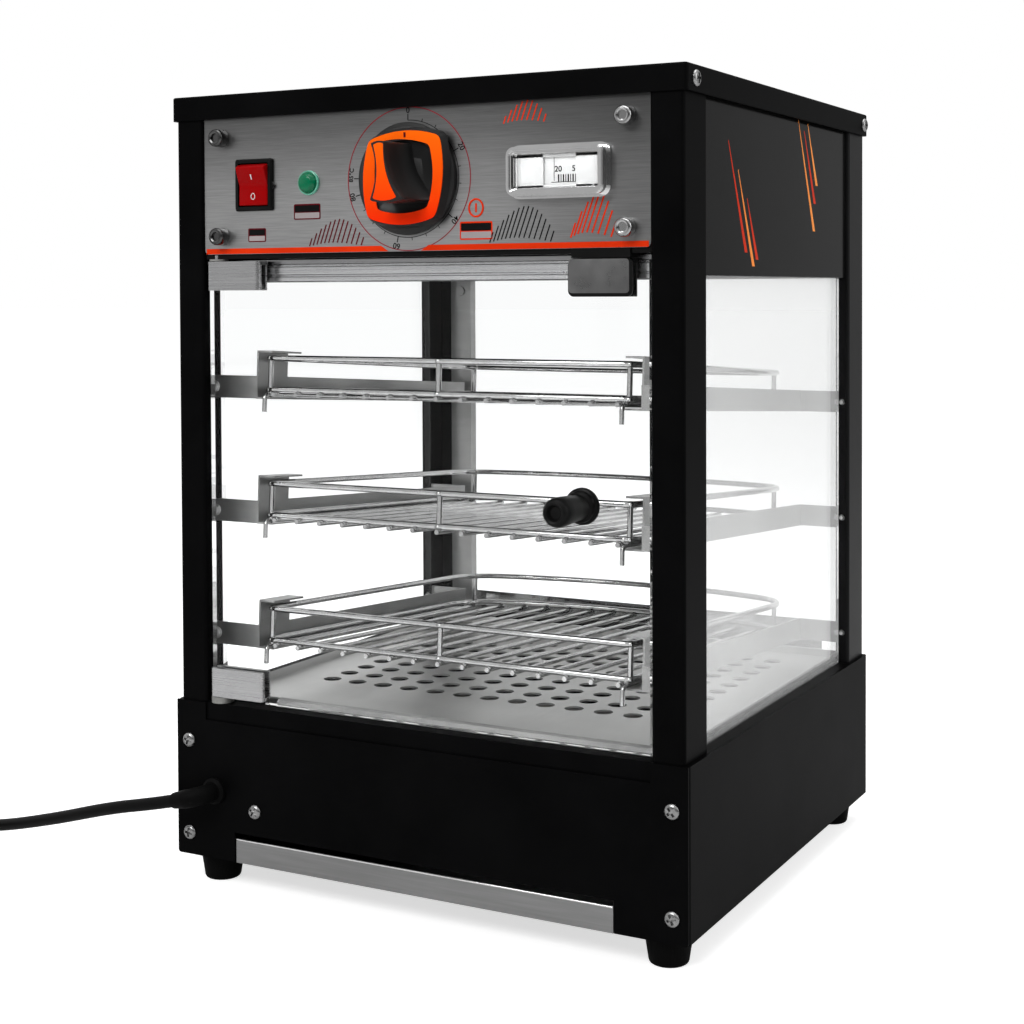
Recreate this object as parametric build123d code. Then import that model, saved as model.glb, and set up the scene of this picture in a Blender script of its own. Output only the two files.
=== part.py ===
# Countertop pizza warmer: a sheet-metal cabinet with glass on four sides, a hinged glass door,
# three wire racks that lean to the rear, a heated base with a crumb tray, and a control fascia.
# Millimetres. +X is to the right seen from the front, -Y is the front, +Z is up.
# The shapes are drawn about the middle of the cabinet, and save() moves them all by Y_ORIGIN, so that
# the finished frame's origin is the middle of the whole outline, knobs included, on the table.

from build123d import *
import math
import os

os.makedirs("parts", exist_ok=True)

# Cabinet
CABINET_W = 350.0
CABINET_D = 330.0
FOOT_H = 18.0
BASE_H = 98.0
POST_H = 366.0
LID_H = 15.0
SHEET = 1.2
BEND_R = 2.4
FIT = 0.3
GLASS_T = 4.0

# Base
PLATE_NOTCH = 11.0
TRAY_CUT_INSET = 44.5
TRAY_CUT_H = 18.5
TRAY_SIDE_GAP = 0.8
TRAY_H = 14.7
TRAY_REAR_ROOM = 68.0
FOOT_TOP_R = 14.0
FOOT_LOW_R = 12.0
FOOT_INSET_X = 20.0
FOOT_INSET_Y = 20.0
SCREW_HEAD_R = 4.6
SCREW_HEAD_H = 2.2
SCREW_SHANK_R = 2.0
SCREW_SIDES = 8
HEATER_R = 4.0
HEATER_SIDES = 8
HEATER_RUNS = 4
HEATER_MARGIN_X = 60.0
HEATER_MARGIN_Y = 79.0
HEATER_DROP = 41.0
BRACKET_GAP = 6.3
BRACKET_SHARE = 0.48

# Posts
POST_INSET_X = 2.5
POST_INSET_Y = 1.5
POST_FRONT_W = 20.0
POST_SIDE_W = 33.5
POST_RETURN = 8.0
LID_SCREW_FRONT = 12.5
LID_SCREW_REAR = 8.0
LID_SCREW_UP = 7.3

# Floor pan
PAN_INSET = 20.0
PAN_GAP = 2.2
PAN_REST = 0.5
PAN_LIP_H = 5.5
PAN_LIP_FLARE = 3.5
HOLE_R = 6.0
HOLE_PITCH_X = 20.0
HOLE_PITCH_Y = 20.5
HOLE_SIDE_MARGIN = 35.0
HOLE_FRONT_MARGIN = 75.0
HOLE_REAR_MARGIN = 30.0
HOLE_SIDES = 6

# Upper part
PANEL_H = 99.5
PANEL_INSET = 5.0
SIDE_GLASS_INSET = 9.3
FASCIA_H = 84.0
FASCIA_INSET = 3.5
SHELF_DROP = 3.0
HEADER_H = 14.7
HEADER_T = 10.0
HEADER_INSET = 14.7

# Door
DOOR_HINGE_GAP = 2.5
DOOR_KNOB_GAP = 2.0
DOOR_LIFT = 2.5
DOOR_TOP_GAP = 4.0
DOOR_T = 5.0
DOOR_INSET = 5.0
PIVOT_INSET = 5.5
PIN_R = 3.0
PIN_CLEAR = 0.05
CLAMP_W = 40.0
CLAMP_H = 18.0
CLAMP_T = 11.5
CLAMP_LIFT = 4.0
CLAMP_FLOOR = 2.0
CLAMP_CROWN = 2.5
STRIKER_INSET = 9.5
STRIKER_W = 39.5
STRIKER_CLEAR = 0.2
MAGNET_INSET = 10.5
MAGNET_W = 36.0
MAGNET_GAP = 0.2
KNOB_INSET = 40.5
KNOB_Z = 254.0
KNOB_L = 37.0
KNOB_FLANGE_R = 10.5
KNOB_STEM_R = 8.0

# Shelf rails and racks
RAIL_LEVELS = 3
RAIL_FIRST_Z = 146.3
RAIL_PITCH = 80.0
RAIL_TILT = 3.65
RAIL_INSET = 38.8
RAIL_H = 14.7
RAIL_LEDGE = 10.6
RAIL_TAB_L = 32.0
RAIL_TAB_H = 31.0
RAIL_HEAD_R = 3.6
RACK_SIDE_GAP = 4.7
RACK_CORNER_R = 42.0
RACK_BOW_R = 280.0
RACK_FRONT_R = 6.0
RACK_FRONT_GAP = 0.4
RACK_REAR_GAP = 2.6
RACK_RIM_H = 20.0
FRAME_WIRE_R = 2.0
GRID_WIRE_R = 1.5
GRID_EDGE = 4.4
GRID_WIRES = 15
RUNNER_ON_LEDGE = 1.0
PEG_OUT = 5.2
PEG_BEND_R = 3.0
PEG_L = 11.0
WELD = 0.3
WIRE_SIDES = 6
RIM_SIDES = 6

# Controls
SWITCH_X = -113.3
CONTROL_Z = 440.4
SWITCH_W = 28.0
SWITCH_H = 32.0
ROCKER_W = 22.0
ROCKER_R = 13.0
ROCKER_IN = 1.0
ROCKER_TILT = 10.0
LAMP_X = -73.0
LAMP_R = 7.5
DIAL_X = -2.5
DIAL_SKIRT_R = 33.0
DIAL_FACE_W = 52.0
DIAL_FACE_H = 54.0
DIAL_GRIP_REACH = 30.0
SHAFT_R = 3.0
METER_X = 97.2
METER_W = 58.5
METER_H = 28.0
METER_T = 10.0
STUD_X = 138.5
STUD_Z_LOW = 409.0
STUD_Z_HIGH = 470.0
STUD_R = 5.5
STUD_L = 8.0

# Power cord
CORD_D = 8.0
GLAND_X = -145.5
GLAND_Z = 61.0
GLAND_DIP = 14.0
ELBOW_R = 11.0
ELBOW_START = 5.0
ELBOW_END = 9.0
COIL_CENTRE = (-404.0, -207.0)
COIL_R = 55.0
COIL_PITCH = 8.8
COIL_LAYER = 8.6
TAIL_L = 56.0
CORD_SIDES = 8

# Heights and planes that follow
HALF_W = CABINET_W / 2
HALF_D = CABINET_D / 2
DECK_Z = FOOT_H + BASE_H
LID_Z = DECK_Z + POST_H
TOP_Z = LID_Z + LID_H
POST_X = HALF_W - POST_INSET_X
POST_Y = HALF_D - POST_INSET_Y
POST_GAP_X = POST_X - POST_FRONT_W
BAY_HALF_W = POST_GAP_X - FIT
BAY_HALF_D = POST_Y - POST_SIDE_W - FIT
TRAY_CUT_W = CABINET_W - 2 * TRAY_CUT_INSET
TRAY_W = TRAY_CUT_W - 2 * TRAY_SIDE_GAP
TRAY_DEPTH = CABINET_D - TRAY_REAR_ROOM
PAN_W = CABINET_W - 2 * PAN_INSET
PAN_D = CABINET_D - 2 * PAN_INSET
PAN_LOW = DECK_Z - PAN_REST - SHEET
HEATER_RUN = PAN_W - 2 * HEATER_MARGIN_X
HEATER_PITCH = (PAN_D - 2 * HEATER_MARGIN_Y) / (HEATER_RUNS - 1)
HEATER_Z = DECK_Z - HEATER_DROP
BRACKET_SPAN = TRAY_CUT_W + 2 * (BRACKET_GAP + SHEET + 4)
BRACKET_Y = BRACKET_SHARE * PAN_D / 2
FASCIA_Y = -HALF_D + FASCIA_INSET
FASCIA_Z = LID_Z - FASCIA_H
SHELF_Z = FASCIA_Z - SHELF_DROP
SHELF_LIP_Y = FASCIA_Y + SHEET
PANEL_TOP = LID_Z + 6.0
DOOR_X_LOW = -POST_GAP_X + DOOR_HINGE_GAP
DOOR_X_HIGH = POST_GAP_X - DOOR_KNOB_GAP
DOOR_Y = -HALF_D + DOOR_INSET
DOOR_Z = DECK_Z + DOOR_LIFT
DOOR_TOP = SHELF_Z - DOOR_TOP_GAP
PIVOT_X = DOOR_X_LOW + PIVOT_INSET
PIVOT_Y = DOOR_Y + DOOR_T / 2
CLAMP_LOW_Z = DECK_Z + CLAMP_LIFT
CLAMP_TOP_Z = DOOR_TOP - CLAMP_H + CLAMP_CROWN
KNOB_X = DOOR_X_HIGH - KNOB_INSET
REAR_GLASS_Y = POST_Y - SHEET - FIT
RAIL_X = POST_X - RAIL_INSET
RAIL_SCREW_X = POST_X - SHEET - RAIL_HEAD_R - 0.2
RAIL_Y = POST_Y - POST_SIDE_W + 2 * SHEET
RAIL_RUN = 2 * RAIL_Y
RAIL_SLOPE = math.tan(math.radians(RAIL_TILT))
RAIL_LENGTH = RAIL_RUN / math.cos(math.radians(RAIL_TILT))
RACK_HALF_W = RAIL_X - RACK_SIDE_GAP - FRAME_WIRE_R
RUNNER_X = RAIL_X - RAIL_LEDGE + RUNNER_ON_LEDGE
GRID_PITCH = 2 * (RUNNER_X - GRID_EDGE) / (GRID_WIRES - 1)
RACK_REAR_Y = REAR_GLASS_Y - GLASS_T - RACK_REAR_GAP - FRAME_WIRE_R
RACK_DEPTH = (RACK_REAR_Y + RAIL_Y) / math.cos(math.radians(RAIL_TILT)) - RACK_FRONT_GAP
GRID_Z = FIT + GRID_WIRE_R
FRAME_Z = GRID_Z + GRID_WIRE_R + FRAME_WIRE_R - WELD
ROCKER_PIVOT_Y = FASCIA_Y + ROCKER_IN
DUCT_X = -BAY_HALF_W - 3.0
DUCT_W = 17.6
COIL_Z = CORD_D / 2 + 0.2
COIL_START = (COIL_CENTRE[0] + CORD_D, COIL_CENTRE[1] + COIL_R, COIL_Z)
Y_ORIGIN = (KNOB_L - DOOR_Y - HALF_D) / 2


def block(x0, x1, y0, y1, z0, z1):
    """A box between two corners."""
    return Pos((x0 + x1) / 2, (y0 + y1) / 2, (z0 + z1) / 2) * Box(x1 - x0, y1 - y0, z1 - z0)


def rod(r, start, end):
    """A round bar from one point to another."""
    line = Vector(*end) - Vector(*start)
    plane = Plane(origin=start, z_dir=line)
    return plane * Cylinder(r, line.length, align=(Align.CENTER, Align.CENTER, Align.MIN))


def prism(sides, r, start, end):
    """A bar with a few flat sides, as wide across them as a round bar, from one point to another."""
    line = Vector(*end) - Vector(*start)
    plane = Plane(origin=start, z_dir=line)
    return extrude(plane * flat_sided(sides, r), amount=line.length)


def flat_sided(sides, r):
    """A section with as much area as a circle of radius r."""
    angle = math.pi / sides
    return RegularPolygon(r * math.sqrt(angle / (math.sin(angle) * math.cos(angle))), sides)


def rounded_block(x0, x1, y0, y1, z0, z1, r, axis):
    """A box whose edges along one axis are rounded."""
    shape = block(x0, x1, y0, y1, z0, z1)
    return fillet(shape.edges().filter_by(axis), r)


def mirrored(shape):
    """The same shape on the other side of the cabinet."""
    return mirror(shape, about=Plane.YZ)


def turned_about_y(points, x, y, z):
    """A body turned about an axis that runs front to back. Points are radius and distance forward."""
    outline = Polyline(*[(r, -out) for r, out in points], close=True)
    return Pos(x, y, z) * revolve(make_face(outline), Axis.Y)


def fuse(shapes):
    """All the shapes as one."""
    return shapes[0].fuse(*shapes[1:]) if len(shapes) > 1 else shapes[0]


def save(name, shape):
    export_step(Pos(0, Y_ORIGIN, 0) * shape, f"parts/{name}.step")


def folded(points, height, z):
    """A strip of sheet folded along upright lines. Points follow the middle of its thickness."""
    line = FilletPolyline(*points, radius=BEND_R - SHEET / 2)
    return Pos(0, 0, z) * extrude(trace(line, line_width=SHEET), amount=height)


def base_front_plate():
    plate = block(-HALF_W, HALF_W, -HALF_D, -HALF_D + SHEET, FOOT_H, DECK_Z)
    plate = fillet(plate.edges().filter_by(Axis.Y).group_by(Axis.Z)[0], 2)
    notch = POST_GAP_X
    plate -= block(-notch, notch, -HALF_D - 1, -HALF_D + 2, DECK_Z - PLATE_NOTCH, DECK_Z + 1)
    half_cut = TRAY_CUT_W / 2
    plate -= block(-half_cut, half_cut, -HALF_D - 1, -HALF_D + 2, FOOT_H - 1, FOOT_H + TRAY_CUT_H)
    plate -= rod(6.2, (GLAND_X, -HALF_D - 1, GLAND_Z), (GLAND_X, -HALF_D + 2, GLAND_Z))
    for x, z in front_screw_places():
        plate -= rod(SCREW_SHANK_R + 0.1, (x, -HALF_D - 1, z), (x, -HALF_D + 2, z))
    return plate


def front_screw_places():
    """The four corner screws of the front plate, and the one beside the cord."""
    x = HALF_W - 9.5
    return [(-x, DECK_Z - 25), (x, DECK_Z - 25), (-x, FOOT_H + 14), (x, FOOT_H + 14), (-114.7, 51.7)]


def base_shell():
    """Two sides and the rear in one folded sheet, with flanges behind the front plate."""
    x = HALF_W - SHEET / 2
    y = HALF_D - SHEET / 2
    front = -HALF_D + 1.5 * SHEET
    flange = x - 17
    points = [(-flange, front), (-x, front), (-x, y), (x, y), (x, front), (flange, front)]
    shell = folded(points, BASE_H, FOOT_H)
    for x, z in front_screw_places()[:4]:
        shell -= rod(SCREW_SHANK_R + 0.1, (x, -HALF_D, z), (x, -HALF_D + 5, z))
    return shell


def base_deck():
    """The top of the base: a frame with a front flange, and a ledge that carries the floor pan."""
    x = HALF_W - SHEET - FIT
    y = HALF_D - 2 * SHEET - FIT
    hole_x = PAN_W / 2 + PAN_GAP
    hole_y = PAN_D / 2 + PAN_GAP
    low = PAN_LOW - SHEET
    rear = HALF_D - SHEET - FIT
    deck = rounded_block(-x, x, -y, rear, DECK_Z - SHEET, DECK_Z, BEND_R - SHEET, Axis.Z)
    deck -= block(-hole_x, hole_x, -hole_y, hole_y, DECK_Z - 5, DECK_Z + 5)
    step = block(-hole_x - SHEET, hole_x + SHEET, -hole_y - SHEET, hole_y + SHEET, low, DECK_Z - SHEET)
    step -= block(-hole_x, hole_x, -hole_y, hole_y, low + SHEET, DECK_Z)
    step -= block(-hole_x + 12, hole_x - 12, -hole_y + 12, hole_y - 12, low - 1, DECK_Z)
    flange = block(-POST_GAP_X, POST_GAP_X, -y - SHEET, -y, DECK_Z - PLATE_NOTCH - 8, DECK_Z)
    deck = fuse([deck, step, flange])
    return deck - rod(PIN_R + PIN_CLEAR, (PIVOT_X, PIVOT_Y, DECK_Z - 9), (PIVOT_X, PIVOT_Y, DECK_Z + 1))


def base_bottom():
    """The bottom sheet, with two angles that guide the crumb tray."""
    x = HALF_W - SHEET - FIT
    y = HALF_D - 2 * SHEET - FIT
    rear = HALF_D - SHEET - FIT
    bottom = rounded_block(-x, x, -y, rear, FOOT_H, FOOT_H + SHEET, BEND_R - SHEET, Axis.Z)
    side = TRAY_W / 2 - 1.2 + FIT
    guide = block(side, side + SHEET, -y + 4, TRAY_DEPTH - HALF_D + 10, FOOT_H + SHEET, FOOT_H + 12)
    guide += block(side, side + 10, -y + 4, TRAY_DEPTH - HALF_D + 10, FOOT_H + SHEET, FOOT_H + 2 * SHEET)
    return fuse([bottom, guide, mirrored(guide)])


def crumb_tray():
    """A shallow pan with a taller front, which slides out forwards."""
    x = TRAY_W / 2 - 1.2
    front = -HALF_D + 0.7
    low = FOOT_H + SHEET + FIT
    high = FOOT_H + TRAY_H - 1.0
    body = block(-x, x, front + 1, front + TRAY_DEPTH, low, high)
    body -= block(-x + 1, x - 1, front + 2, front + TRAY_DEPTH - 1, low + 1, high + 1)
    half = TRAY_W / 2
    face = block(-half, half, front, front + 1, FOOT_H - 0.4, FOOT_H + TRAY_H)
    hem = rod(1.0, (-half, front + 1, FOOT_H + TRAY_H - 1), (half, front + 1, FOOT_H + TRAY_H - 1))
    return fuse([body, face, hem])


def foot_places():
    x = HALF_W - FOOT_INSET_X
    y = HALF_D - FOOT_INSET_Y
    return [(-x, -y), (x, -y), (-x, y), (x, y)]


def feet():
    foot = Cone(FOOT_LOW_R, FOOT_TOP_R, FOOT_H, align=(Align.CENTER, Align.CENTER, Align.MIN))
    return Compound([Pos(x, y, 0) * foot for x, y in foot_places()])


def pan_head_screw(x, y, z, side, length):
    """A low screw head on a shank. Side is the way the head faces: 'front', 'left' or 'right'."""
    head = prism(SCREW_SIDES, SCREW_HEAD_R, (0, -SCREW_HEAD_H, 0), (0, 0, 0))
    head = chamfer(head.edges().group_by(Axis.Y)[0], 1.1)
    screw = head + prism(WIRE_SIDES, SCREW_SHANK_R - 0.2, (0, -1, 0), (0, length, 0))
    turn = {"front": 0, "right": 90, "left": -90}[side]
    return Pos(x, y, z) * Rot(0, 0, turn) * screw


def base_screws():
    return Compound([pan_head_screw(x, -HALF_D, z, "front", 6) for x, z in front_screw_places()])


def lid_screws():
    sign = {"left": -1, "right": 1}
    places = [(side, y) for side in sign for y in (lid_screw_y(True), lid_screw_y(False))]
    z = LID_Z + LID_SCREW_UP
    return Compound([pan_head_screw(sign[s] * HALF_W, y, z, s, 6) for s, y in places])


def lid_screw_y(front):
    """Where the lid is screwed to a post, measured along the cabinet's depth."""
    return -HALF_D + LID_SCREW_FRONT if front else HALF_D - LID_SCREW_REAR


def post(front):
    """The right-hand post, a folded channel, for the front or the rear."""
    way = -1 if front else 1
    half = SHEET / 2
    flange_y = way * (POST_Y - half)
    return_y = way * (POST_Y - POST_SIDE_W + half)
    inner_x = POST_X - POST_FRONT_W + half
    points = [(inner_x, way * (POST_Y - POST_RETURN)), (inner_x, flange_y), (POST_X - half, flange_y)]
    points += [(POST_X - half, return_y), (POST_X - POST_RETURN, return_y)]
    shape = folded(points, LID_Z + LID_H - SHEET - FIT - DECK_Z, DECK_Z)
    for z in rail_screw_heights(front):
        x = RAIL_SCREW_X
        shape -= rod(SCREW_SHANK_R + 0.1, (x, return_y - 3, z), (x, return_y + 3, z))
    y = lid_screw_y(front)
    z = LID_Z + LID_SCREW_UP
    return shape - rod(SCREW_SHANK_R + 0.1, (POST_X - 5, y, z), (HALF_W, y, z))


def rail_screw_heights(front):
    drop = 0 if front else RAIL_RUN * RAIL_SLOPE
    return [RAIL_FIRST_Z + k * RAIL_PITCH + RAIL_H / 2 - drop for k in range(RAIL_LEVELS)]


def top_lid():
    lid = block(-HALF_W, HALF_W, -HALF_D, HALF_D, LID_Z, TOP_Z)
    lid = fillet(lid.edges().filter_by(Axis.Z), BEND_R)
    lid = fillet(lid.edges().group_by(Axis.Z)[-1], 1.2)
    x = HALF_W - SHEET
    y = HALF_D - SHEET
    lid -= rounded_block(-x, x, -y, y, LID_Z - 5, TOP_Z - SHEET, BEND_R - SHEET, Axis.Z)
    z = LID_Z + LID_SCREW_UP
    for y in (lid_screw_y(True), lid_screw_y(False)):
        lid -= rod(SCREW_SHANK_R + 0.1, (-HALF_W - 1, y, z), (HALF_W + 1, y, z))
    return lid


def side_panel():
    """The right-hand upper panel, with a hem that covers the top of the glass."""
    x = HALF_W - PANEL_INSET
    low = LID_Z - PANEL_H
    panel = block(x - SHEET, x, -BAY_HALF_D, BAY_HALF_D, low, PANEL_TOP)
    return panel + block(HALF_W - SIDE_GLASS_INSET + FIT, x, -BAY_HALF_D, BAY_HALF_D, low, low + SHEET)


def rear_panel():
    low = LID_Z - PANEL_H
    return block(-BAY_HALF_W, BAY_HALF_W, POST_Y - SHEET, POST_Y, low, PANEL_TOP)


def side_glass():
    x = HALF_W - SIDE_GLASS_INSET
    return block(x - GLASS_T, x, -BAY_HALF_D + 0.7, BAY_HALF_D - 0.7, DECK_Z, LID_Z - PANEL_H + 14)


def rear_glass():
    y = REAR_GLASS_Y
    return block(-BAY_HALF_W, BAY_HALF_W, y - GLASS_T, y, DECK_Z, LID_Z - PANEL_H + 10)


def floor_pan():
    """The perforated tray of the cabinet, with a flared lip all round."""
    taper = -math.degrees(math.atan(PAN_LIP_FLARE / PAN_LIP_H))
    low = PAN_LOW
    outer = Pos(0, 0, low) * extrude(Rectangle(PAN_W, PAN_D), amount=PAN_LIP_H + SHEET, taper=taper)
    inner_w = PAN_W - 0.8 * SHEET
    inner_d = PAN_D - 0.8 * SHEET
    inner = Pos(0, 0, low + SHEET) * extrude(Rectangle(inner_w, inner_d), amount=PAN_LIP_H + 5, taper=taper)
    pan = outer - inner
    columns = int((PAN_W - 2 * HOLE_SIDE_MARGIN) // HOLE_PITCH_X) + 1
    rows = int((PAN_D - HOLE_FRONT_MARGIN - HOLE_REAR_MARGIN) // HOLE_PITCH_Y) + 1
    first_x = -(columns - 1) / 2 * HOLE_PITCH_X
    first_y = -PAN_D / 2 + HOLE_FRONT_MARGIN
    hole = prism(HOLE_SIDES, HOLE_R, (0, 0, low - 1), (0, 0, low + SHEET + 1))
    places = [
        (first_x + i * HOLE_PITCH_X, first_y + k * HOLE_PITCH_Y)
        for i in range(columns)
        for k in range(rows)
    ]
    return pan.cut(*[Pos(x, y, 0) * hole for x, y in places])


def control_shelf():
    """The ceiling of the cabinet, with an upright front that carries the controls."""
    wide = HALF_W - SIDE_GLASS_INSET - GLASS_T - FIT
    rear = POST_Y - POST_RETURN - FIT
    shelf = block(-wide, wide, FASCIA_Y + 7, rear, SHELF_Z, SHELF_Z + SHEET)
    shelf += block(-BAY_HALF_W, BAY_HALF_W, SHELF_LIP_Y, FASCIA_Y + 8, SHELF_Z, SHELF_Z + SHEET)
    shelf += block(-BAY_HALF_W, BAY_HALF_W, SHELF_LIP_Y, SHELF_LIP_Y + SHEET, SHELF_Z, PANEL_TOP)
    duct = DUCT_X + DUCT_W
    shelf -= block(duct - 18.4, duct - 3.4, rear - 5, rear + 1, SHELF_Z - 1, SHELF_Z + 3)
    shelf -= rod(PIN_R + PIN_CLEAR, (PIVOT_X, PIVOT_Y, SHELF_Z - 1), (PIVOT_X, PIVOT_Y, SHELF_Z + 3))
    return cut_for_controls(shelf)


def cut_for_controls(sheet):
    """The holes that the fascia and the sheet behind it share."""
    y0 = FASCIA_Y - 1
    y1 = SHELF_LIP_Y + SHEET + 1
    half_w = SWITCH_W / 2 - 1.6
    half_h = SWITCH_H / 2 - 1.1
    sheet -= block(SWITCH_X - half_w, SWITCH_X + half_w, y0, y1, CONTROL_Z - half_h, CONTROL_Z + half_h)
    sheet -= rod(6.2, (LAMP_X, y0, CONTROL_Z), (LAMP_X, y1, CONTROL_Z))
    sheet -= rod(5.0, (DIAL_X, y0, CONTROL_Z), (DIAL_X, y1, CONTROL_Z))
    for x, z in stud_places():
        sheet -= rod(SCREW_SHANK_R + 0.1, (x, y0, z), (x, y1, z))
    return sheet


def stud_places():
    return [(x, z) for x in (-STUD_X, STUD_X) for z in (STUD_Z_LOW, STUD_Z_HIGH)]


def control_fascia():
    plate = block(-BAY_HALF_W, BAY_HALF_W, FASCIA_Y, FASCIA_Y + SHEET, FASCIA_Z, PANEL_TOP)
    plate = fillet(plate.edges().filter_by(Axis.Y).group_by(Axis.Z)[0], 3)
    return cut_for_controls(plate)


def fascia_studs():
    outline = [(0, STUD_L), (STUD_R - 0.8, STUD_L), (STUD_R, STUD_L - 0.8), (STUD_R, 0)]
    outline += [(SCREW_SHANK_R, 0), (SCREW_SHANK_R, -6), (0, -6)]
    return Compound([turned_about_y(outline, x, FASCIA_Y, z) for x, z in stud_places()])


def header_rail():
    """The grooved bar above the door opening, against which the door closes."""
    y = -HALF_D + HEADER_INSET
    low = SHELF_Z - HEADER_H
    half = BAY_HALF_W
    bar = block(-half, half, y, y + HEADER_T, low, SHELF_Z)
    for share in (0.3, 0.7):
        z = low + share * HEADER_H
        bar -= block(-half - 1, half + 1, y - 1, y + 0.9, z - 0.6, z + 0.6)
    bar -= block(-half - 1, half + 1, y + 2.5, y + HEADER_T + 1, low + 1.5, SHELF_Z - 2)
    return bar


def magnet_catch():
    """Under the front of the shelf, above the plate on the door."""
    low = DOOR_TOP + STRIKER_CLEAR + SHEET + MAGNET_GAP
    x1 = DOOR_X_HIGH - MAGNET_INSET
    x0 = x1 - MAGNET_W
    body = block(x0, x1, FASCIA_Y - 0.5, -HALF_D + HEADER_INSET - FIT, low, SHELF_Z)
    return body + block(x0, x1, FASCIA_Y - 0.5, SHELF_LIP_Y, low, FASCIA_Z - 0.4)


def door_glass():
    """The pane, notched at its lower corner for the floor of the clamp."""
    y0 = DOOR_Y - 1
    y1 = DOOR_Y + DOOR_T + 1
    x0 = DOOR_X_LOW
    glass = block(x0, DOOR_X_HIGH, DOOR_Y, DOOR_Y + DOOR_T, DOOR_Z, DOOR_TOP)
    glass -= block(x0 - 1, x0 + CLAMP_W + FIT, y0, y1, DOOR_Z - 1, CLAMP_LOW_Z + CLAMP_FLOOR + 0.05)
    return glass - rod(3.2, (KNOB_X, y0, KNOB_Z), (KNOB_X, y1, KNOB_Z))


def hinge_clamp(low, top):
    """A clamp on the corner of the glass, with the pivot pin on its end."""
    y0 = PIVOT_Y - CLAMP_T / 2
    y1 = PIVOT_Y + CLAMP_T / 2
    x0 = DOOR_X_LOW
    clamp = rounded_block(x0, x0 + CLAMP_W, y0, y1, low, low + CLAMP_H, 2.5, Axis.Z)
    slot0 = DOOR_Y - 0.05
    slot1 = DOOR_Y + DOOR_T + 0.05
    if top:
        clamp -= block(x0 - 1, x0 + CLAMP_W + 1, slot0, slot1, low - 1, DOOR_TOP + 0.05)
        pin = rod(PIN_R, (PIVOT_X, PIVOT_Y, low + CLAMP_H - 1), (PIVOT_X, PIVOT_Y, SHELF_Z + 2.5))
    else:
        clamp -= block(x0 - 1, x0 + CLAMP_W + 1, slot0, slot1, low + CLAMP_FLOOR, low + CLAMP_H + 1)
        pin = rod(PIN_R, (PIVOT_X, PIVOT_Y, DECK_Z - 4), (PIVOT_X, PIVOT_Y, low + 1))
    return clamp + pin


def hinge_bushes():
    """A washer under the lower clamp and one over the upper clamp."""
    align = (Align.CENTER, Align.CENTER, Align.MIN)
    upper_low = CLAMP_TOP_Z + CLAMP_H + 0.3
    low_ring = Pos(PIVOT_X, PIVOT_Y, DECK_Z) * Cylinder(7, CLAMP_LIFT - 0.3, align=align)
    top_ring = Pos(PIVOT_X, PIVOT_Y, upper_low) * Cylinder(6, SHELF_Z - upper_low, align=align)
    bore = rod(PIN_R + PIN_CLEAR, (PIVOT_X, PIVOT_Y, DECK_Z - 1), (PIVOT_X, PIVOT_Y, SHELF_Z + 1))
    return Compound([low_ring - bore, top_ring - bore])


def striker_plate():
    """A steel plate folded over the top edge of the door, under the magnet."""
    x1 = DOOR_X_HIGH - STRIKER_INSET
    x0 = x1 - STRIKER_W
    top = DOOR_TOP
    front = DOOR_Y - 0.1 - SHEET
    rear = DOOR_Y + DOOR_T + 0.1 + SHEET
    crown = top + STRIKER_CLEAR + SHEET
    plate = rounded_block(x0, x1, front, rear, top - 20, crown, 3, Axis.Y)
    plate = block(x0, x1, front, rear, top - 10, crown) + plate
    return plate - block(x0 - 1, x1 + 1, front + SHEET, rear - SHEET, top - 30, top + STRIKER_CLEAR)


def door_knob():
    """A turned knob: a stepped flange, a stem, and a rounded end."""
    low = (Align.CENTER, Align.CENTER, Align.MIN)
    flange = Cylinder(KNOB_FLANGE_R, 3.0, align=low) + Cylinder(KNOB_FLANGE_R - 1.5, 6.6, align=low)
    flange = chamfer(flange.edges().group_by(Axis.Z)[-1], 1.2)
    stem = Cone(KNOB_STEM_R - 1.2, KNOB_STEM_R + 0.4, KNOB_L, align=low)
    stem = fillet(stem.edges().group_by(Axis.Z)[-1], 5.5)
    knob = Rot(90, 0, 0) * (flange + stem)
    knob -= rod(2.05, (0, 1, 0), (0, -14, 0))
    return Pos(KNOB_X, DOOR_Y, KNOB_Z) * knob


def door_knob_screw():
    y = DOOR_Y + DOOR_T
    washer = rod(5.5, (KNOB_X, y, KNOB_Z), (KNOB_X, y + 0.8, KNOB_Z))
    head = rod(4.0, (KNOB_X, y, KNOB_Z), (KNOB_X, y + 2.6, KNOB_Z))
    shank = rod(2.0, (KNOB_X, DOOR_Y - 12, KNOB_Z), (KNOB_X, y + 1, KNOB_Z))
    return fuse([washer, head, shank])


def rail_frame(level):
    """The leaning frame of one level: its origin is on the ledge, at the front end of the rail."""
    z = RAIL_FIRST_Z + level * RAIL_PITCH + SHEET
    return Pos(0, -RAIL_Y, z) * Rot(-RAIL_TILT, 0, 0)


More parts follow.
